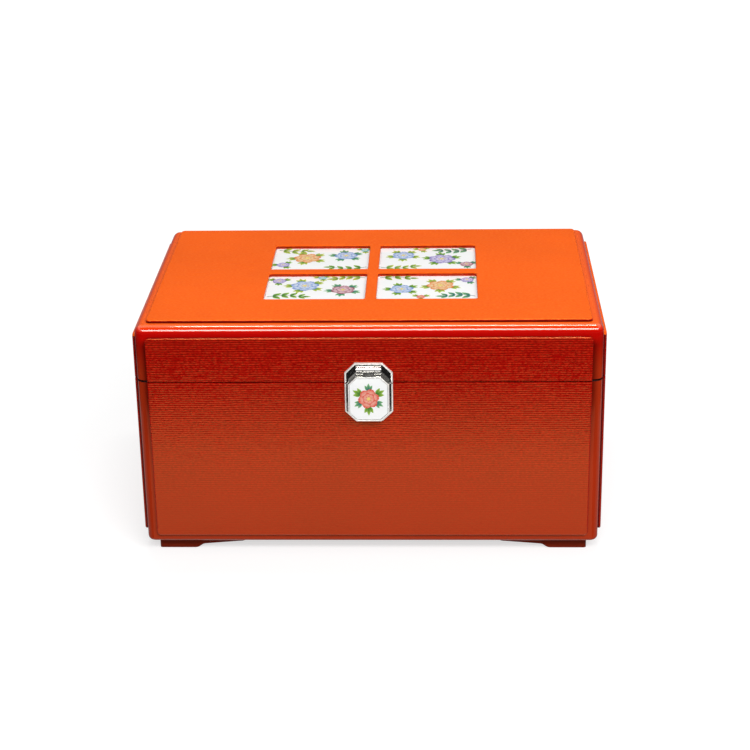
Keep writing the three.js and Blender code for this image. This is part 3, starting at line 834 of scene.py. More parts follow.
def side_fields():
    """The fields on the four sides, each cut in two at the seam."""
    middle = (field_top + field_bottom) / 2
    half_height = (field_top - field_bottom) / 2
    for turns, side in enumerate(("front", "right", "back", "left")):
        length, distance = (DEPTH, half_width) if turns % 2 else (WIDTH, half_depth)
        plate = loft(rings(nose(0, FIELD_PROUD), length / 2 - FIELD_MARGIN, half_height, FIELD_CORNER))
        stand = Matrix.Translation((0, -distance, middle)) @ UPRIGHT
        plate.transform(Matrix.Rotation(turns * math.pi / 2, 4, "Z") @ stand)
        if side == "back":
            plate = cut(plate, *back_cuts())
        edge = 0 if side == "back" else FIELD_SEAM_EDGE
        halves = (
            ("", "chest", halved(plate, body_top, False, edge)),
            ("lid_", "lid", halved(plate, lid_bottom, True, edge)),
        )
        plate.free()
        for prefix, body, half in halves:
            name = f"{prefix}panel_{side}"
            panel = show(name, half, side_cloth, body, [f"{prefix}field_{side}"])
            darken_foot(panel, turns)
            # Upward faces of the lid's left and right fields get the top's copy, painted lighter as if
            # lit from above
            if body == "lid" and turns % 2:
                refinish(panel, painted_lit_top_cloth, faces_up)


def top_field():
    """The field on the lid, with its four windows."""
    high = lid_top + FIELD_PROUD
    half_x = half_width - FIELD_MARGIN
    half_y = half_depth - FIELD_MARGIN
    plate = loft(rings(nose(lid_top, high), half_x, half_y, FIELD_CORNER))
    mouth = [(-inset, height) for inset, height in upper_edge(0, high, FIELD_EDGE, 5)]
    flare = [(0, lid_top - BEYOND), *mouth, (-FIELD_EDGE, high + BEYOND)]
    cutters = []
    for place in window_places().values():
        cutters.append(loft(rings(flare, WINDOW_WIDTH / 2, WINDOW_DEPTH / 2, WINDOW_CORNER, place)))
    made = cut(plate, *cutters)
    panel = show("lid_panel_top", made, painted_lit_top_cloth, "lid", ["lid_field_top"])

    def at_foot(face):
        centre = drawn(face.center)
        outside = abs(centre.x) > half_x - 2 or abs(centre.y) > half_y - 2
        return outside and centre.z < lid_top + EDGE_FOOT and not faces_up(face)

    # Faces that don't face up get the darker side copy: painted shade on the field's walls
    refinish(panel, side_cloth, lambda face: not faces_up(face))
    # The field's foot gets the painted groove shade
    refinish(panel, groove, at_foot)


def foot_outline():
    """Distance along a foot's arm and height of its lower edge."""
    ogee_end = FOOT_FLAT + FOOT_OGEE
    taper_end = ogee_end + FOOT_TAPER
    taper_top = FOOT_OGEE_RISE + FOOT_TAPER_RISE
    points = [(FOOT_FLAT * 0.6, 0)]
    for step in range(FOOT_STEPS + 1):
        t = step / FOOT_STEPS
        ease = 1.5 * t * (1 - t) + t**3
        points.append((FOOT_FLAT + FOOT_OGEE * ease, FOOT_OGEE_RISE * (3 * t * t - 2 * t**3)))
    points.append(((ogee_end + taper_end) / 2, FOOT_OGEE_RISE + FOOT_TAPER_RISE / 2))
    for step in range(FOOT_STEPS + 1):
        t = 0.97 * step / FOOT_STEPS
        along = taper_end + FOOT_END * (2 * t * (1 - t) + t * t)
        points.append((along, taper_top + (FOOT_HEIGHT - taper_top) * t * t))
    return points


def bracket_foot():
    """Two equal arms from a rounded corner, along +X and +Y."""
    high = FOOT_HEIGHT + SUNK
    inner = FOOT_THICKNESS

    def section(outer_point, inner_point, low):
        return [(*outer_point, low), (*outer_point, high), (*inner_point, high), (*inner_point, low)]

    outline = foot_outline()
    rows = [section((s, 0), (s, inner), low) for s, low in reversed(outline)]
    for step in range(7):
        angle = math.pi * 1.5 - step / 6 * math.pi / 2
        x = FOOT_CORNER * (1 + math.cos(angle))
        y = FOOT_CORNER * (1 + math.sin(angle))
        rows.append(section((x, y), (inner, inner), 0))
    rows += [section((0, s), (inner, s), low) for s, low in outline]
    foot = loft(rows)
    bmesh.ops.remove_doubles(foot, verts=foot.verts, dist=1e-4)
    bmesh.ops.recalc_face_normals(foot, faces=foot.faces)
    return foot


def feet():
    """One bracket foot under each corner, turned to it."""
    x = half_width - FOOT_INSET
    y = half_depth - FOOT_INSET
    corners = (
        ("front_left", -x, -y),
        ("front_right", x, -y),
        ("back_right", x, y),
        ("back_left", -x, y),
    )
    for turns, (corner, foot_x, foot_y) in enumerate(corners):
        foot = bracket_foot()
        turn = Matrix.Rotation(turns * math.pi / 2, 4, "Z")
        foot.transform(Matrix.Translation((foot_x, foot_y, 0)) @ turn)
        name = f"bracket_foot_{corner}"
        show(name, foot, foot_finish, "chest", [f"foot_{corner}"], bevel=0.45)


# Painted blossoms

BLUE = ((0.14, 0.27, 0.72), (0.74, 0.84, 0.96))
VIOLET = ((0.20, 0.11, 0.52), (0.78, 0.75, 0.94))
ORANGE = ((0.90, 0.19, 0.003), (0.97, 0.74, 0.42))
MAROON = ((0.26, 0.004, 0.04), (0.88, 0.62, 0.68))
CORAL = ((0.82, 0.03, 0.006), (0.96, 0.46, 0.36))
GREEN = ((0.01, 0.17, 0.03), (0.42, 0.66, 0.08))
TEAL = ((0.0, 0.13, 0.16), (0.28, 0.62, 0.22))
LIME = ((0.05, 0.26, 0.05), (0.74, 0.80, 0.12))
GOLD = ((0.72, 0.36, 0.02), (0.95, 0.76, 0.20))
AQUA = ((0.04, 0.42, 0.50), (0.50, 0.84, 0.86))


def heading(angle):
    """One millimetre in a direction on the plane."""
    return Vector((math.cos(angle), math.sin(angle)))


class Painting:
    """Thin coloured shapes on a plane, drawn in its own X and Y and raised a little along Z."""

    def __init__(self):
        self.mesh = bmesh.new()
        self.layer = self.mesh.loops.layers.float_color.new("paint")

    def face(self, corners):
        """A face from pairs of a corner and its colour."""
        made = self.mesh.faces.new([corner for corner, _ in corners])
        for loop, (_, colour) in zip(made.loops, corners):
            loop[self.layer] = (*colour, 1)

    def strip(self, rows):
        """A grid of pairs of a point and its colour."""
        grid = [[(self.mesh.verts.new(point), colour) for point, colour in row] for row in rows]
        for low, high in zip(grid, grid[1:]):
            for index in range(len(low) - 1):
                self.face((low[index], low[index + 1], high[index + 1], high[index]))

    def vane(self, base, angle, stations, shares, colours, lift, form):
        """A leaf or petal with a raised middle line.

        Its form gives how far out, how wide to one side and how light it is at a station and a
        share of its width.
        """
        dark, light = colours
        forward = heading(angle)
        side = Vector((-forward.y, forward.x))
        rows = []
        for station in stations:
            row = []
            for share in shares:
                out, half, amount = form(station, share)
                point = Vector(base) + forward * out + side * half * share
                colour = [a + (b - a) * amount for a, b in zip(dark, light)]
                row.append(((point.x, point.y, lift + 0.05 * (1 - share * share)), colour))
            rows.append(row)
        self.strip(rows)

    def leaf(self, base, angle, length, width, colours, lift):
        """A pointed leaf, darker at its base and its middle line."""

        def form(t, share):
            half = width / 2 * math.sin(math.pi * t**0.85) + 0.02
            amount = min(1, max(0, 0.3 + 0.9 * t - 0.5 * (1 - abs(share))))
            return length * t, half, amount

        stations = [step / 7 for step in range(8)]
        self.vane(base, angle, stations, (-1, -0.55, 0, 0.55, 1), colours, lift, form)

    def petal(self, base, angle, length, width, colours, lift):
        """A broad petal with a wavy end: pale within, dark round its rim and at its heart."""
        broadest = 0.58

        def form(t, share):
            past = max(0.0, (t - broadest) / (1 - broadest))
            half = width / 2 * min(1, t / broadest) ** 0.7 * math.sqrt(max(0.06, 1 - past**2.4))
            wave = 1 + 0.05 * past * math.cos(2.5 * math.pi * share)
            rim = max(abs(share) ** 3, past**1.4)
            return length * t * wave, half, 1 - max(rim, 0.75 * max(0, 1 - t / 0.5))

        stations = (0.08, 0.22, 0.4, broadest, 0.72, 0.84, 0.93, 1.0)
        self.vane(base, angle, stations, (-1, -0.8, -0.45, 0, 0.45, 0.8, 1), colours, lift, form)

    def stem(self, points, width, colour):
        """A brushed line through points, thinner towards its end."""
        lift = 0.03
        rows = []
        for index, point in enumerate(points):
            ahead = points[min(index + 1, len(points) - 1)]
            behind = points[max(index - 1, 0)]
            along = (ahead - behind).normalized()
            side = Vector((-along.y, along.x)) * width / 2 * (1 - 0.6 * index / len(points))
            line = ((*(point - side), lift), (*point, lift + 0.02), (*(point + side), lift))
            rows.append([(place, colour) for place in line])
        self.strip(rows)

    def dot(self, centre, radius, colour, lift):
        """A small round touch of the brush."""
        steps = 10
        middle = self.mesh.verts.new((*centre, lift + 0.05))
        rim = []
        for step in range(steps):
            point = Vector(centre) + radius * heading(2 * math.pi * step / steps)
            rim.append(self.mesh.verts.new((*point, lift)))
        for index in range(steps):
            corners = (middle, rim[index], rim[(index + 1) % steps])
            self.face([(corner, colour) for corner in corners])

    def blossom(self, centre, radius, colours, petals=6, turn=0.0):
        """Two rounds of petals about a heart with stamens."""
        rounds = ((0, 1, 5.4, 0.08, 0.006), (0.5, 0.6, 3.4, 0.14, 0.004))
        for offset, reach, breadth, low, rise in rounds:
            for index in range(petals):
                angle = turn + 2 * math.pi * (index + offset) / petals
                width = radius * breadth / petals
                self.petal(centre, angle, radius * reach, width, colours, low + rise * index)
        self.dot(centre, radius * 0.17, GOLD[1], 0.2)
        for index in range(petals):
            angle = turn + 2 * math.pi * (index + 0.25) / petals
            self.dot(Vector(centre) + 0.27 * radius * heading(angle), radius * 0.05, GOLD[0], 0.21)

    def fronds(self, centre, radius, first, count, colours, length):
        """Leaves in threes that stand out from under a blossom."""
        for index in range(count):
            angle = first + 2 * math.pi * index / count
            base = Vector(centre) + radius * 0.8 * heading(angle)
            for lean, share in ((0.0, 1.0), (0.55, 0.85), (-0.55, 0.85)):
                self.leaf(base, angle + lean, length * share, length * 0.4, colours, 0.04)

    def spray(self, start, end, bend, pairs, colours, leaf_length):
        """A curved stem with leaves in pairs that stand off it, and one at its end."""
        steps = 12
        start = Vector(start)
        along = Vector(end) - start
        side = Vector((-along.y, along.x)).normalized()
        points = []
        for step in range(steps + 1):
            t = step / steps
            points.append(start + along * t + side * bend * math.sin(math.pi * t))
        self.stem(points, 0.6, colours[0])
        ahead = math.atan2(along.y, along.x)
        for index in range(pairs):
            t = (index + 0.6) / pairs
            length = leaf_length * (1 - 0.25 * t)
            for turn in (0.8, -0.8):
                self.leaf(points[round(t * steps)], ahead + turn, length, length * 0.5, colours, 0.05)
        self.leaf(end, ahead, leaf_length * 0.8, leaf_length * 0.36, colours, 0.05)

    def draw(self, sprays, blossoms):
        """Sprays first, then the leaves of all blossoms, then the blossoms over them."""
        for spray in sprays:
            self.spray(*spray)
        for centre, radius, _, _, turn, leaves in blossoms:
            self.fronds(centre, radius, turn + 0.4, 5 if radius > 5 else 3, leaves, 3.4 + radius * 0.45)
        for centre, radius, colours, petals, turn, _ in blossoms:
            self.blossom(centre, radius, colours, petals, turn)


# For each tile: sprays (start, end, bend, pairs of leaves, colours, leaf length) and
# blossoms (centre, radius, colours, petals, turn, leaf colours), from the tile's middle
TILE_DRAWINGS = {
    "back_left": (
        (((-31, 22), (-12, 20), -2, 3, LIME, 8.5), ((32, -15), (8, -15), 3, 4, GREEN, 7.5)),
        (
            ((-10, 4), 9.4, ORANGE, 7, 0.3, LIME),
            ((17, 9), 7.8, BLUE, 6, 0.1, TEAL),
            ((-26, -10), 4.6, VIOLET, 5, 0.6, GREEN),
            ((30, 21), 3.0, AQUA, 5, 0.2, LIME),
        ),
    ),
    "back_right": (
        (((31, 23), (9, 20), 3, 4, TEAL, 8.0), ((-32, -16), (-10, -14), -3, 4, LIME, 8.0)),
        (
            ((10, 1), 9.2, VIOLET, 7, 0.0, GREEN),
            ((-17, 9), 7.8, BLUE, 6, 0.5, LIME),
            ((27, -10), 4.6, MAROON, 5, 0.2, TEAL),
            ((-4, 22), 3.0, ORANGE, 5, 0.4, LIME),
        ),
    ),
    "front_left": (
        (((-32, -15), (-9, -15), 3, 4, GREEN, 8.0), ((32, 22), (12, 20), -3, 4, LIME, 8.0)),
        (
            ((-8, 6), 9.4, BLUE, 7, 0.2, LIME),
            ((18, -2), 8.0, MAROON, 6, 0.4, TEAL),
            ((-26, 16), 4.6, VIOLET, 5, 0.1, GREEN),
            ((3, 22), 3.0, AQUA, 5, 0.3, LIME),
        ),
    ),
    "front_right": (
        (((32, -15), (12, -15), -3, 4, TEAL, 8.0), ((-32, 22), (-12, 21), 2, 3, GREEN, 8.0)),
        (
            ((9, 6), 9.2, ORANGE, 7, 0.5, LIME),
            ((-17, -1), 7.8, BLUE, 6, 0.2, GREEN),
            ((27, 17), 4.6, VIOLET, 5, 0.5, TEAL),
            ((-4, -16), 3.0, CORAL, 5, 0.1, LIME),
        ),
    ),
}


def tiles():
    """Four enamel tiles with rounded edges and a slight crown, and the paint on them."""
    low = lid_top - TILE_DROP - TILE_THICKNESS
    high = lid_top - TILE_DROP
    profile = [(0.3, low), (0, low + 0.3), (0, high - 0.5), (0.15, high - 0.2), (0.6, high - 0.1)]
    profile += [(3, high - 0.04), (8, high + TILE_CROWN * 0.5), (20, high + TILE_CROWN)]
    half_x = WINDOW_WIDTH / 2 + TILE_LAP
    half_y = WINDOW_DEPTH / 2 + TILE_LAP
    for name, place in window_places().items():
        tile = loft(rings(profile, half_x, half_y, 1.2, place))
        show(f"enamel_{name}", tile, enamel, "lid", [f"tile_{name}"])
        art = Painting()
        art.draw(*TILE_DRAWINGS[name])
        art.mesh.transform(Matrix.Translation((*place, high + TILE_CROWN - 0.02)))
        show(f"painting_{name}", art.mesh, paint, "lid")


# Clasp


def octagonal(sizes, profile):
    """A form through octagons that face the front, one for each inset and Y of a profile."""
    half, low, high, chamfer = sizes
    rows = []
    for inset, y in profile:
        x = half - inset
        bottom = low + inset
        top = high - inset
        corner = chamfer - inset * (2 - math.sqrt(2))
        right = [(x - corner, bottom), (x, bottom + corner), (x, top - corner), (x - corner, top)]
        left = [(-px, pz) for px, pz in reversed(right)]
        rows.append([(px, y, pz) for px, pz in (left[-1], *right, *left[:-1])])
    return loft(rows)


def paint_rim_sheen(piece, sizes, width, behind):
    """The rim of an octagon, in front of a depth, gets pale silver with a painted sheen."""
    half, low, high, chamfer = sizes

    def on_rim(face):
        centre = drawn(face.center)
        across = half - abs(centre.x)
        up = min(centre.z - low, high - centre.z)
        inset = min(across, up, (across + up - chamfer) / math.sqrt(2))
        return inset < width and centre.y < behind

    refinish(piece, painted_sheen_silver, on_rim)


def clasp_plates():
    """The dish behind the flap, in two parts, with the barrel's outer knuckles and the pin."""
    rim_front = clasp_base_front - CLASP_RIM_HEIGHT
    bead = CLASP_RIM_WIDTH / 2
    profile = [(0.2, clasp_face + SUNK), (0, clasp_face), (0, rim_front + bead)]
    for step in range(1, 12):
        angle = math.pi * step / 12
        profile.append((bead * (1 - math.cos(angle)), rim_front + bead * (1 - math.sin(angle))))
    profile += [(2 * bead, rim_front + bead), (2 * bead, clasp_base_front - 0.1)]
    profile += [(2 * bead + 0.1, clasp_base_front)]
    dish = octagonal(CLASP_SIZES, profile)
    upper = halved(dish, lid_bottom, True, 0.12)
    lower = halved(dish, body_top, False, 0.12)
    dish.free()

    half = BARREL_LENGTH / 2
    stem_y = (clasp_axis_y, clasp_base_front + SUNK)
    stem_z = (clasp_axis_z - BARREL_RADIUS / 2, clasp_axis_z + BARREL_RADIUS / 2)
    parts = [upper]
    for start, end in ((-half, -knuckle_half - CLEARANCE), (knuckle_half + CLEARANCE, half)):
        parts.append(rod(BARREL_RADIUS, start, end, clasp_axis_y, clasp_axis_z))
        parts.append(block((start + 0.1, end - 0.1), stem_y, stem_z))
    upper = joined(*parts)
    plates = (
        show("clasp_upper_plate", upper, silver, "lid", ["clasp_lid_plate"], bevel=0.1),
        show("clasp_lower_plate", lower, silver, "chest", ["clasp_body_plate"], bevel=0.1),
    )
    for plate in plates:
        paint_rim_sheen(plate, CLASP_SIZES, 2 * bead - 0.01, clasp_face)
    pin = rod(BARREL_PIN_RADIUS, -half - 0.5, half + 0.5, clasp_axis_y, clasp_axis_z, chamfer=0.3)
    show("clasp_hinge_pin", pin, silver, "lid", ["clasp_pin"])


def clasp_flap():
    """The thick flap with its knuckle and bezel, the enamel plaque in it, and the magnet."""
    profile = [(0.25, flap_back), (0, flap_back - 0.25), (0, flap_front + 0.4)]
    profile += [(0.12, flap_front + 0.12), (0.4, flap_front), (0.7, flap_front)]
    profile += [(BEZEL_WIDTH - 0.06, flap_front + 0.1), (BEZEL_WIDTH, flap_front + 0.3)]
    profile += [(BEZEL_WIDTH, flap_front + PLAQUE_SUNK + PLAQUE_THICKNESS)]
    magnet_z = flap_low + MAGNET_ABOVE_FLAP_END
    magnet_front = flap_back - MAGNET_THICKNESS
    bore = disc([(MAGNET_RADIUS + 0.05, y) for y in (magnet_front, flap_back + BEYOND)], 0, magnet_z)
    flap = cut(octagonal(FLAP_SIZES, profile), bore)
    across = (-knuckle_half, knuckle_half)
    web = block(across, (flap_back - FLAP_WEB, flap_back), (flap_high - BEYOND, clasp_axis_z))
    made = joined(flap, web, rod(BARREL_RADIUS, *across, clasp_axis_y, clasp_axis_z))
    swing = show("clasp_swing_flap", made, silver, "clasp", ["clasp_flap"], bevel=0.12)
    paint_rim_sheen(swing, FLAP_SIZES, BEZEL_WIDTH + 0.01, flap_front + 0.35)

    face = flap_front + PLAQUE_SUNK
    inset = BEZEL_WIDTH + 0.12
    profile = [(inset, face + PLAQUE_THICKNESS), (inset, face + 0.25), (inset + 0.1, face + 0.08)]
    profile += [(inset + 0.5, face - 0.02), (4, face - PLAQUE_CROWN * 0.7), (8, face - PLAQUE_CROWN)]
    plaque = octagonal(FLAP_SIZES, profile)
    show("clasp_enamel", plaque, enamel, "clasp", ["clasp_plaque"], bevel=0.1)
    art = Painting()
    centre = (0, 0.5)
    radius = 6.6
    art.fronds(centre, radius, math.pi / 6, 3, GREEN, 6.4)
    art.fronds(centre, radius, math.pi / 2, 3, TEAL, 5.4)
    art.blossom(centre, radius, CORAL, 6, 0.2)
    middle = Matrix.Translation((0, face - PLAQUE_CROWN + 0.02, (flap_low + flap_high) / 2))
    art.mesh.transform(middle @ UPRIGHT)
    show("clasp_painting", art.mesh, paint, "clasp")

    profile = [(MAGNET_RADIUS, magnet_front), (MAGNET_RADIUS, flap_back - 0.2)]
    profile += [(MAGNET_RADIUS - 0.06, flap_back - 0.06), (MAGNET_RADIUS - 0.2, flap_back)]
    show("clasp_disc_magnet", disc(profile, 0, magnet_z), steel, "clasp", ["clasp_magnet"])


# Hinges


def screws():
    """Countersunk heads with crossed slots, three in each leaf."""
    y = hinge_y - HINGE_RADIUS - (LEAF_WIDTH - HINGE_RADIUS) / 2 + 0.05
    profile = [(0.35, -0.16), (0.8, -0.15), (1.3, -0.1), (SCREW_RADIUS, -0.02)]
    profile += [(SCREW_RADIUS, 0.15), (0.6, 0.8)]
    for side, x in (("left", -hinge_x), ("right", hinge_x)):
        for leaf, body, facing in (("body", "chest", 1), ("lid", "lid", -1)):
            upright = Matrix.Rotation(-facing * math.pi / 2, 4, "X")
            heads = []
            for offset in (-SCREW_SPACING, 0, SCREW_SPACING):
                slots = []
                for turn in (0.6 + offset, 0.6 + offset + math.pi / 2):
                    slot = block((-SLOT_REACH, SLOT_REACH), (-0.3, 0.12), (-SLOT_HALF, SLOT_HALF))
                    slot.transform(Matrix.Translation((0, -0.12, 0)) @ Matrix.Rotation(turn, 4, "Y"))
                    slots.append(slot)
                head = cut(disc(profile, 0, 0, 24), *slots)
                place = (x + offset, y, seam - facing * SEAM_GAP / 2)
                head.transform(Matrix.Translation(place) @ upright)
                heads.append(head)
            show(f"hinge_{side}_{leaf}_screws", joined(*heads), brass, body)


# Inside


def lining():
    """One velvet wrap over the four lining panels, soft at its lip."""
    round_edge = 0.7
    high = seam + LIP_HEIGHT
    lip = upper_edge(0, high, round_edge, 4)[1:]
    profile = [(0, floor_top), (0, high - round_edge), *lip]
    profile += [(LINING - inset, height) for inset, height in reversed(lip)]
    profile += [(LINING, high - round_edge), (LINING, floor_top)]
    outer_x = half_width - WALL - 0.05
    outer_y = half_depth - WALL - 0.05
    wrap = loft(rings(profile, outer_x, outer_y, 0.8), closed=True)
    panels = [f"lining_{side}" for side in SIDES]
    show("velvet_lining", wrap, red_velvet, "chest", panels)


CLOTH_SCALE = 5
SIM_FRAMES = 20


def simulated(shape, voxel, pressure, cap, pinned):
    """A stuffed form: remeshed, blown up a little as cloth, and held within a cap.

    The simulation runs at a larger scale, where Blender's cloth is steady.
    """
    scale = MM * CLOTH_SCALE
    shape.transform(Matrix.Scale(scale, 4))
    soft = placed("soft", meshed("soft", shape))
    remesh = soft.modifiers.new("Remesh", "REMESH")
    remesh.mode = "VOXEL"
    remesh.voxel_size = voxel * scale
    dense = modified(soft)
    soft.modifiers.clear()
    coarse = soft.data
    soft.data = dense
    bpy.data.meshes.remove(coarse)
    start = [vertex.co.copy() for vertex in dense.vertices]
    group = soft.vertex_groups.new(name="held")
    group.add([index for index, point in enumerate(start) if pinned(point / scale)], 1.0, "REPLACE")
    modifier = soft.modifiers.new("Cloth", "CLOTH")
    modifier.point_cache.frame_end = SIM_FRAMES
    modifier.collision_settings.use_self_collision = False
    cloth = modifier.settings
    cloth.quality = 6
    cloth.use_pressure = True
    cloth.uniform_pressure_force = pressure
    cloth.effector_weights.gravity = 0
    cloth.tension_stiffness = 15
    cloth.compression_stiffness = 15
    cloth.bending_stiffness = 0.6
    cloth.vertex_group_mass = group.name
    for step in range(1, SIM_FRAMES + 1):
        bpy.context.scene.frame_set(step)
    blown = modified(soft)
    made = bmesh.new()
    made.from_mesh(dense)
    for vertex, moved, origin in zip(made.verts, blown.vertices, start):
        step = moved.co - origin
        if step.length > cap * scale:
            step = step.normalized() * cap * scale
        vertex.co = origin + step
    bpy.context.scene.frame_set(1)
    bpy.data.meshes.remove(blown)
    dropped(soft)
    made.transform(Matrix.Scale(1 / scale, 4))
    return made


def roll_shape(length):
    """A ring roll about the origin: flat below, half round above, drawn in at its ends."""
    radius = ROLL_WIDTH / 2 - 0.5
    height = ROLL_HEIGHT - 0.7
    half = length / 2
    end = ((0, 0.55), (0.5, 0.75), (1.3, 0.88), (3, 0.96), (7, 1))
    stations = [(x - half, share) for x, share in end]
    stations += [(half - x, share) for x, share in reversed(end)]
    rows = []
    for x, share in stations:
        row = [(x, -radius * share, 0.2), (x, radius * share, 0.2)]
        for step in range(17):
            angle = math.pi * step / 16
            z = (height - radius + radius * math.sin(angle)) * (0.25 + 0.75 * share)
            row.append((x, radius * share * math.cos(angle), z))
        rows.append(row)
    return loft(rows)


def ring_rolls():
    """Stuffed rolls side by side in the tray, each a little uneven in its own way."""
    around = WALL + LINING + TRAY_CLEARANCE + TRAY_WALL
    middle_x = around - half_width + RING_SECTION_WIDTH / 2
    shape = roll_shape(RING_SECTION_WIDTH - 2 * CLEARANCE - 1.2)
    shape = simulated(shape, voxel=1.1, pressure=4, cap=1.0, pinned=lambda point: point.z < 0.6)
    for index in range(ROLL_COUNT):
        y = around - half_depth + ROLL_GAP + ROLL_WIDTH / 2 + index * (ROLL_WIDTH + ROLL_GAP)
        roll = shape.copy()
        for vertex in roll.verts:
            place = vertex.co
            dent = 0.22 * noise.noise(Vector((place.x / 14 + 7 * index, place.y / 9, place.z / 9)))
            place.z += dent * min(1, place.z / 6)
        roll.transform(Matrix.Translation((middle_x, y, tray_low + TRAY_FLOOR)))
        name = f"ring_cushion_{index + 1}"
        piece = show(name, roll, cushion_velvet, "tray", [f"ring_roll_{index + 1}"])
        piece.modifiers.clear()
        rounder = piece.modifiers.new("Rounder", "SUBSURF")
        rounder.levels = 1
        rounder.render_levels = 1
    shape.free()


def pad_shape(half_x, half_y, thickness):
    """A thin pad: a fine grid above and below, joined at rounded edges."""
    across = 92
    along = 60
    made = bmesh.new()
    rims = []
    for height, flip in ((0.1, True), (thickness - 0.9, False)):
        rows = []
        for j in range(along + 1):
            y = -half_y + 2 * half_y * j / along
            xs = [-half_x + 2 * half_x * i / across for i in range(across + 1)]
            rows.append([made.verts.new((x, y, height)) for x in xs])
        for near, far in zip(rows, rows[1:]):
            for i in range(across):
                corners = [near[i], near[i + 1], far[i + 1], far[i]]
                made.faces.new(reversed(corners) if flip else corners)
        rim = rows[0] + [row[-1] for row in rows[1:-1]]
        rims.append(rim + rows[-1][::-1] + [row[0] for row in rows[-2:0:-1]])
    low, high = rims
    for index, corner in enumerate(low):
        made.faces.new((low[index - 1], corner, high[index], high[index - 1]))
    bmesh.ops.recalc_face_normals(made, faces=made.faces)
    return made


def floor_cushion():
    """The pad on the floor of the chest: it lies flat below and crowns a little above."""
    half_x = half_width - WALL - LINING - CLEARANCE - 0.5
    half_y = half_depth - WALL - LINING - CLEARANCE - 0.5
    shape = pad_shape(half_x, half_y, PAD_THICKNESS)
    for vertex in shape.verts:
        place = vertex.co
        if place.z > 1:
            ease = min(1, min(half_x - abs(place.x), half_y - abs(place.y)) / 6)
            place.z += 0.55 * ease - 0.7 * (1 - ease) ** 2
            place.z += 0.12 * noise.noise(Vector((place.x / 30, place.y / 30, 3.1))) * ease
    shape.transform(Matrix.Translation((0, 0, floor_top)))
    piece = show("floor_cushion", shape, red_velvet, "chest", ["floor_pad"])


def inside():
    lining()
    floor_cushion()
    ring_rolls()
    dress("bottom_board", foot_finish)
    dress("tray_floor", red_velvet, 0.5)
    covered = [f"tray_wall_{side}" for side in SIDES]
    covered += [f"tray_divider_{place}" for place in ("left", "right", "cross")]
    covered += ["tray_ledge_left", "tray_ledge_right", "mirror_frame"]
    for node in covered:
        dress(node, red_velvet, 0.8)
    dress("mirror", mirror_glass)
    for side in ("left", "right"):
        for part, edge in (("body_leaf", 0.12), ("lid_leaf", 0.12), ("pin", 0.0)):
            dress(f"hinge_{side}_{part}", brass, edge)


# Stage


# The photograph's camera, from a fit to points of the chest in it
CAMERA_PLACE = (46.7, -1208.4, 584.6)
CAMERA_YAW = math.radians(2.205)
CAMERA_PITCH = math.radians(22.373)
CAMERA_ROLL = math.radians(0.993)
CAMERA_LENS = 89.74


def camera():
    """Looks along the pitch, turned by the yaw, and rolls about its own axis."""
    turn = Matrix.Rotation(CAMERA_YAW, 3, "Z")
    forward = turn @ Vector((0, math.cos(CAMERA_PITCH), -math.sin(CAMERA_PITCH)))
    right = turn @ Vector((1, 0, 0))
    down = forward.cross(right)
    tilted_right = math.cos(CAMERA_ROLL) * right + math.sin(CAMERA_ROLL) * down
    tilted_down = math.cos(CAMERA_ROLL) * down - math.sin(CAMERA_ROLL) * right
    data = bpy.data.cameras.new("camera")
    data.sensor_width = 36
    data.lens = CAMERA_LENS
    data.clip_start = 0.05
    data.clip_end = 40
    view = placed("camera", data)
    axes = Matrix((tilted_right, -tilted_down, -forward)).transposed().to_4x4()
    view.matrix_world = Matrix.Translation(row_point(*CAMERA_PLACE)) @ axes
    bpy.context.scene.camera = view


def seen(tree):
    """1 for what the camera sees, straight or in gloss or through glass, and otherwise 0."""
    path = add_node(tree, "LightPath").outputs
    total = path["Is Camera Ray"]
    for kind in ("Is Glossy Ray", "Is Transmission Ray"):
        total = add_node(tree, "Math", total, path[kind], operation="MAXIMUM").outputs[0]
    return total


WHITE = (1, 1, 1, 1)
FLOOR_WHITE = 0.45
FLOOR_REACH = 6
GLOW_DISTANCES = (250, 1600)
NEAR_GLOW = 0.66
FAR_GLOW = 1.0
AMBIENT = 0.25
PAPER_REACH = 0.233
PAPER_MARGIN = 0.005
PAPER_SPREAD = 0.08
DARK_REACH = 0.55
FAR_REACH = 2.5
SCREEN_GLOW = 0.12
GREY_GLOW = 0.3
SIDE_GLOW = 0.45
FRONT_SCREEN = 1.33
SCREEN = 1.9
TOP_CARD = 1.7


def staged(name, sheets, finish):
    """Flat sheets that belong to the stage."""
    points = []
    faces = []
    for sheet in sheets:
        faces.append(list(range(len(points), len(points) + len(sheet))))
        points += sheet
    mesh = bpy.data.meshes.new(name)
    mesh.from_pydata(points, [], faces)
    mesh.materials.append(finish.material)
    piece = placed(name, mesh)
    return piece


def oblong(x, y, height):
    """A level sheet between two values of X and two of Y."""
    return [(x[0], y[0], height), (x[1], y[0], height), (x[1], y[1], height), (x[0], y[1], height)]


def floor():
    """A plain white floor that keeps the chest's shadow."""
    finish = Finish(
        "studio_floor",
        Base_Color=(*grey(FLOOR_WHITE), 1),
        Roughness=0.9,
        Specular_IOR_Level=0,
        Emission_Color=WHITE,
    )
    away = finish.add("VectorMath", finish.position, operation="LENGTH").outputs["Value"]
    glow = finish.between(away, *GLOW_DISTANCES, NEAR_GLOW, FAR_GLOW)
    seen_glow = finish.math("MULTIPLY", seen(finish.material.node_tree), glow)
    finish.feed("Emission Strength", seen_glow)
    ends = (-FLOOR_REACH, FLOOR_REACH)
    staged("studio_floor", [oblong(ends, ends, 0)], finish)


def card(name, sheets, glow):
    """Matt black sheets with a faint glow, seen in gloss and nowhere else."""
    finish = Finish(
        name,
        Base_Color=(*grey(0.01), 1),
        Specular_IOR_Level=0,
        Emission_Color=WHITE,
        Emission_Strength=glow,
    )
    piece = staged(name, sheets, finish)
    piece.visible_camera = False
    piece.visible_diffuse = False
    piece.visible_shadow = False
    piece.visible_transmission = False


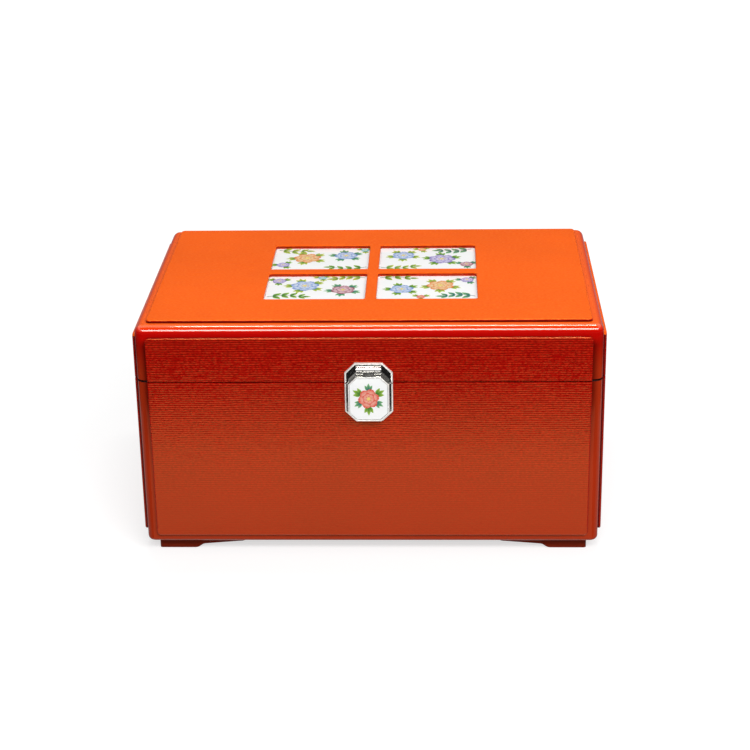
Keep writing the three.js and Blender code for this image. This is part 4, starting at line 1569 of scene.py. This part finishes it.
def turned(sheet, turns):
    """A sheet's points after quarter turns about the chest."""
    turn = Matrix.Rotation(turns * math.pi / 2, 4, "Z")
    return [turn @ Vector(point) for point in sheet]


def floor_sheets(turns, far, level):
    """Sheets on the floor at one side of the chest: next to it, beyond that, and at the corner."""
    along, across = (half_width, half_depth) if turns % 2 == 0 else (half_depth, half_width)
    near = across * MM + PAPER_REACH
    half = along * MM + PAPER_MARGIN
    spread = half + PAPER_SPREAD
    next_near = along * MM + PAPER_REACH
    next_half = across * MM + PAPER_MARGIN
    next_spread = next_half + PAPER_SPREAD
    paper = [(-half, -across * MM), (half, -across * MM), (spread, -near), (-spread, -near)]
    beyond = [(-spread, -near), (spread, -near), (spread, -far), (-spread, -far)]
    corner = [(next_near, -next_spread), (half, -next_half), (spread, -near), (spread, -far)]
    corner += [(far, -far), (far, -next_spread)]
    return [turned([(x, y, level) for x, y in sheet], turns) for sheet in (paper, beyond, corner)]


def studio_cards():
    """Grey paper about the chest but for its front, paler beside it, dark card on that, and screens."""
    dark = []
    side = []
    plain = []
    screens = []
    for turns in range(4):
        paper, beyond, corner = floor_sheets(turns, FAR_REACH, 0.5 * MM)
        plain += [paper, beyond, corner] if turns == 2 else [beyond, corner]
        if turns % 2 == 1:
            side.append(paper)
        _, beyond, corner = floor_sheets(turns, DARK_REACH, MM)
        if turns != 2:
            dark.append(beyond)
        if turns in (0, 3):
            dark.append(corner)
        high = FRONT_SCREEN if turns == 0 else SCREEN
        screen = [(-FAR_REACH, -FAR_REACH, 0), (FAR_REACH, -FAR_REACH, 0)]
        screen += [(FAR_REACH, -FAR_REACH, high), (-FAR_REACH, -FAR_REACH, high)]
        screens.append(turned(screen, turns))
    card("studio_dark_cards", dark, 0.0)
    card("studio_side_paper", side, SIDE_GLOW)
    card("studio_grey_paper", plain, GREY_GLOW)
    card("studio_screens", screens, SCREEN_GLOW)
    card("studio_top_card", [oblong((-1, 1), (-1.2, -0.1), TOP_CARD)], 0.0)


def surroundings():
    """White to the eye and in gloss, and a low even light on what is matt."""
    world = bpy.data.worlds.new("studio")
    bpy.context.scene.world = world
    world.use_nodes = True
    tree = world.node_tree
    background = tree.nodes["Background"].inputs
    background["Color"].default_value = WHITE
    strength = add_node(tree, "MapRange", seen(tree), 0, 1, AMBIENT, 1)
    put(strength.outputs[0], background["Strength"])


def softbox(name, place, target, size, radiance):
    """A soft rectangular lamp of that radiance, in watts per square metre and steradian."""
    data = bpy.data.lights.new(name, "AREA")
    data.shape = "RECTANGLE"
    data.size, data.size_y = size
    data.energy = radiance * size[0] * size[1] * math.pi
    light = placed(name, data)
    light.location = place
    light.rotation_mode = "QUATERNION"
    light.rotation_quaternion = (Vector(target) - Vector(place)).to_track_quat("-Z", "Y")


def lamps():
    """A narrow one over the lid's back edge and a wide weak one in front."""
    softbox("overhead_softbox", (0.02, 0.2, 1.45), target=(0, 0, 0.15), size=(0.68, 0.13), radiance=25)
    softbox("front_softbox", (0.32, -1.1, 1.09), target=(0, 0, 0.13), size=(1.6, 0.44), radiance=9.5)


def look():
    """Colours as they are, without a film's curve."""
    bpy.context.scene.view_settings.view_transform = "Standard"


camera()
body_shell()
lid_shell()
side_fields()
top_field()
feet()
tiles()
clasp_plates()
clasp_flap()
screws()
inside()
floor()
studio_cards()
surroundings()
lamps()
look()
